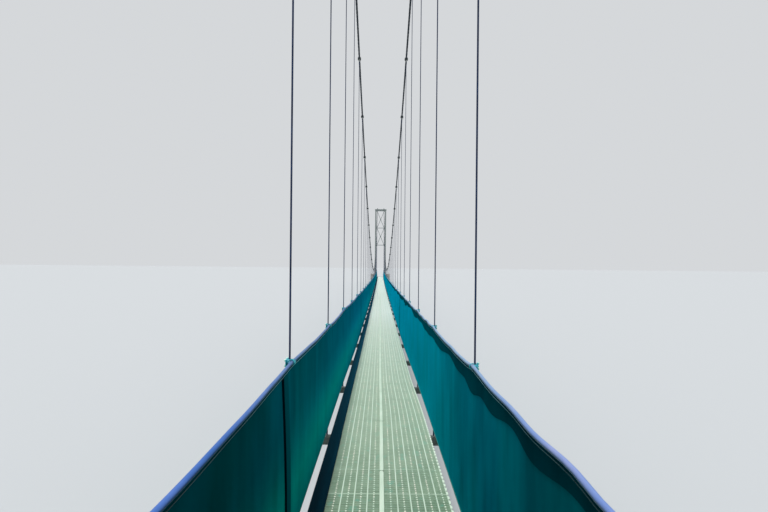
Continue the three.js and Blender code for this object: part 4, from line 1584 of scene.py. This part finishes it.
# %% Saddle bolts
cheek_bolt_drop = 112 * mm
cheek_bolt_place = 40 * mm
cheek_bolt_half = 66 * mm
cheek_nut_place = 64 * mm
for end in ("near", "far"):
    for label, side in both_sides:
        low, high = box_ends(f"{end}_saddle_{label}")
        x, y = (low[:2] + high[:2]) / 2
        z = high[2] - cheek_bolt_drop
        rods, nuts = [], []
        for at in (y - cheek_bolt_place, y + cheek_bolt_place):
            left, right = (x - cheek_bolt_half, at, z), (x + cheek_bolt_half, at, z)
            rods.append(bar(left, right, 16 * mm, 16 * mm, 4 * mm, across=(0, 1, 0)))
            for reach in (-cheek_nut_place, cheek_nut_place):
                one = nut(14 * mm, 10 * mm, (1, 0, 0), (0, 1, 0))
                nuts.append(moved(one, (x + reach, at, z)))
        parts = [(together(rods + nuts), bolt_zinc)]
        new_piece(f"{end}_{label}_saddle_bolts", parts, (), 50)

# %% [markdown]
# ## Anchor sockets
#
# Each backstay ends in a turned socket on a plate that four bolts hold to the sloping face
# of its concrete block. One is worked out for the far right block, square to its face, and
# mirrored to the other three.

# %% Anchor sockets
socket_radius = 55 * mm
socket_root = 30 * mm
face_plate = 440 * mm
stud_place = 165 * mm
up_face = np.array([0, face_run, block_height - block_lip])
up_face = up_face / np.linalg.norm(up_face)
out = np.cross([1, 0, 0], up_face)
centre = face_middle + out * 5 * mm
plate = oblong(face_plate, face_plate, 12 * mm, 1)
plate = sweep([centre - out * 2 * mm, centre + out * 35 * mm], plate)
# Where the socket's radius changes: share of its length, share of its radius.
turned = np.array(
    [(0, 1.35), (0.2, 1.35), (0.25, 1.0), (0.45, 1.0), (0.55, 0.94), (0.9, 0.66), (0.94, 0.72), (1.0, 0.6)]
)
root = face_middle - stay_line * socket_root
places = root - stay_line * turned[:, :1] * (socket_length - socket_root)
cast_parts = together([plate, sweep(places, circle(socket_radius, 20), turned[:, 1])])
studs = []
for a in (-stud_place, stud_place):
    for b in (-stud_place, stud_place):
        stud = centre + out * 42 * mm + [a, 0, 0] + up_face * b
        studs.append(sweep([stud - out * 14 * mm, stud + out * 12 * mm], circle(24 * mm, 6)))
for end, direction in (("near", -1), ("far", 1)):
    for label, side in both_sides:
        parts = []
        for shape, finish in ((cast_parts, cast_steel), (together(studs), bolt_zinc)):
            parts.append((mirrored(mirrored(shape, direction, axis=1), side), finish))
        node = f"{end}_{label}_anchor_socket"
        new_piece(f"{end}_{label}_socket", parts, [node], 40)

# %% [markdown]
# ## CAD pieces that stay
#
# Concrete blocks, beams, braces and saddles already have the right shape. They only get
# their finish. Their meshes are never changed.

# %% Finishes on the CAD nodes
kept_finishes = {
    "deck_frame": frame_zinc,
    "bracing": tower_zinc,
    "saddle": cast_steel,
    "abutment": concrete,
    "anchor_block": concrete,
}
for name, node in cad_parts.items():
    for word, finish in kept_finishes.items():
        if word in name:
            node.material_slots[0].material = finish
print("triangles added by this scene:", added_triangles)

# %% [markdown]
# ## Floor
#
# A plain pale floor that reaches far enough to look endless from the deck. It is staging,
# not a part of the bridge.

# %% Floor
floor_reach = 150.0
corners = [(x * floor_reach, y * floor_reach, 0) for x, y in ((-1, -1), (1, -1), (1, 1), (-1, 1))]
floor_mesh = bpy.data.meshes.new("floor")
floor_mesh.from_pydata(corners, [], [(0, 1, 2, 3)])
# Matt paint: even and pale, so that the bridge stands out from it.
floor_finish, tree, shader, place = new_finish("floor_matt_pale", Roughness=0.9)
shader.inputs["Base Color"].default_value = linear("#b9bcbe")
floor_mesh.materials.append(floor_finish)
floor = bpy.data.objects.new("floor", floor_mesh)
bpy.context.collection.objects.link(floor)
print("floor reaches", floor_reach, "m each way")

# %% [markdown]
# ## Light
#
# Soft light comes from everywhere, with one soft sun almost overhead and a little to the
# left, where it stood when the photo was taken. It lights the deck evenly, leaves the left
# screen's face in shade and grazes the right one's.

# %% Light
studio_strength = 0.75
sun_strength = 2.3
sun_width = 12
sun_turn = (-8, -7, 0)
world = bpy.data.worlds.new("studio")
world.use_nodes = True
world.node_tree.nodes["Background"].inputs["Color"].default_value = linear("#f2f5f8")
world.node_tree.nodes["Background"].inputs["Strength"].default_value = studio_strength
bpy.context.scene.world = world

sun = bpy.data.objects.new("soft_sun", bpy.data.lights.new("soft_sun", "SUN"))
sun.data.energy = sun_strength
sun.data.angle = math.radians(sun_width)
sun.rotation_euler = [math.radians(angle) for angle in sun_turn]
bpy.context.collection.objects.link(sun)

bpy.context.scene.view_settings.view_transform = "Standard"
bpy.context.scene.view_settings.look = "None"
print("soft sun", sun_width, "degrees wide")
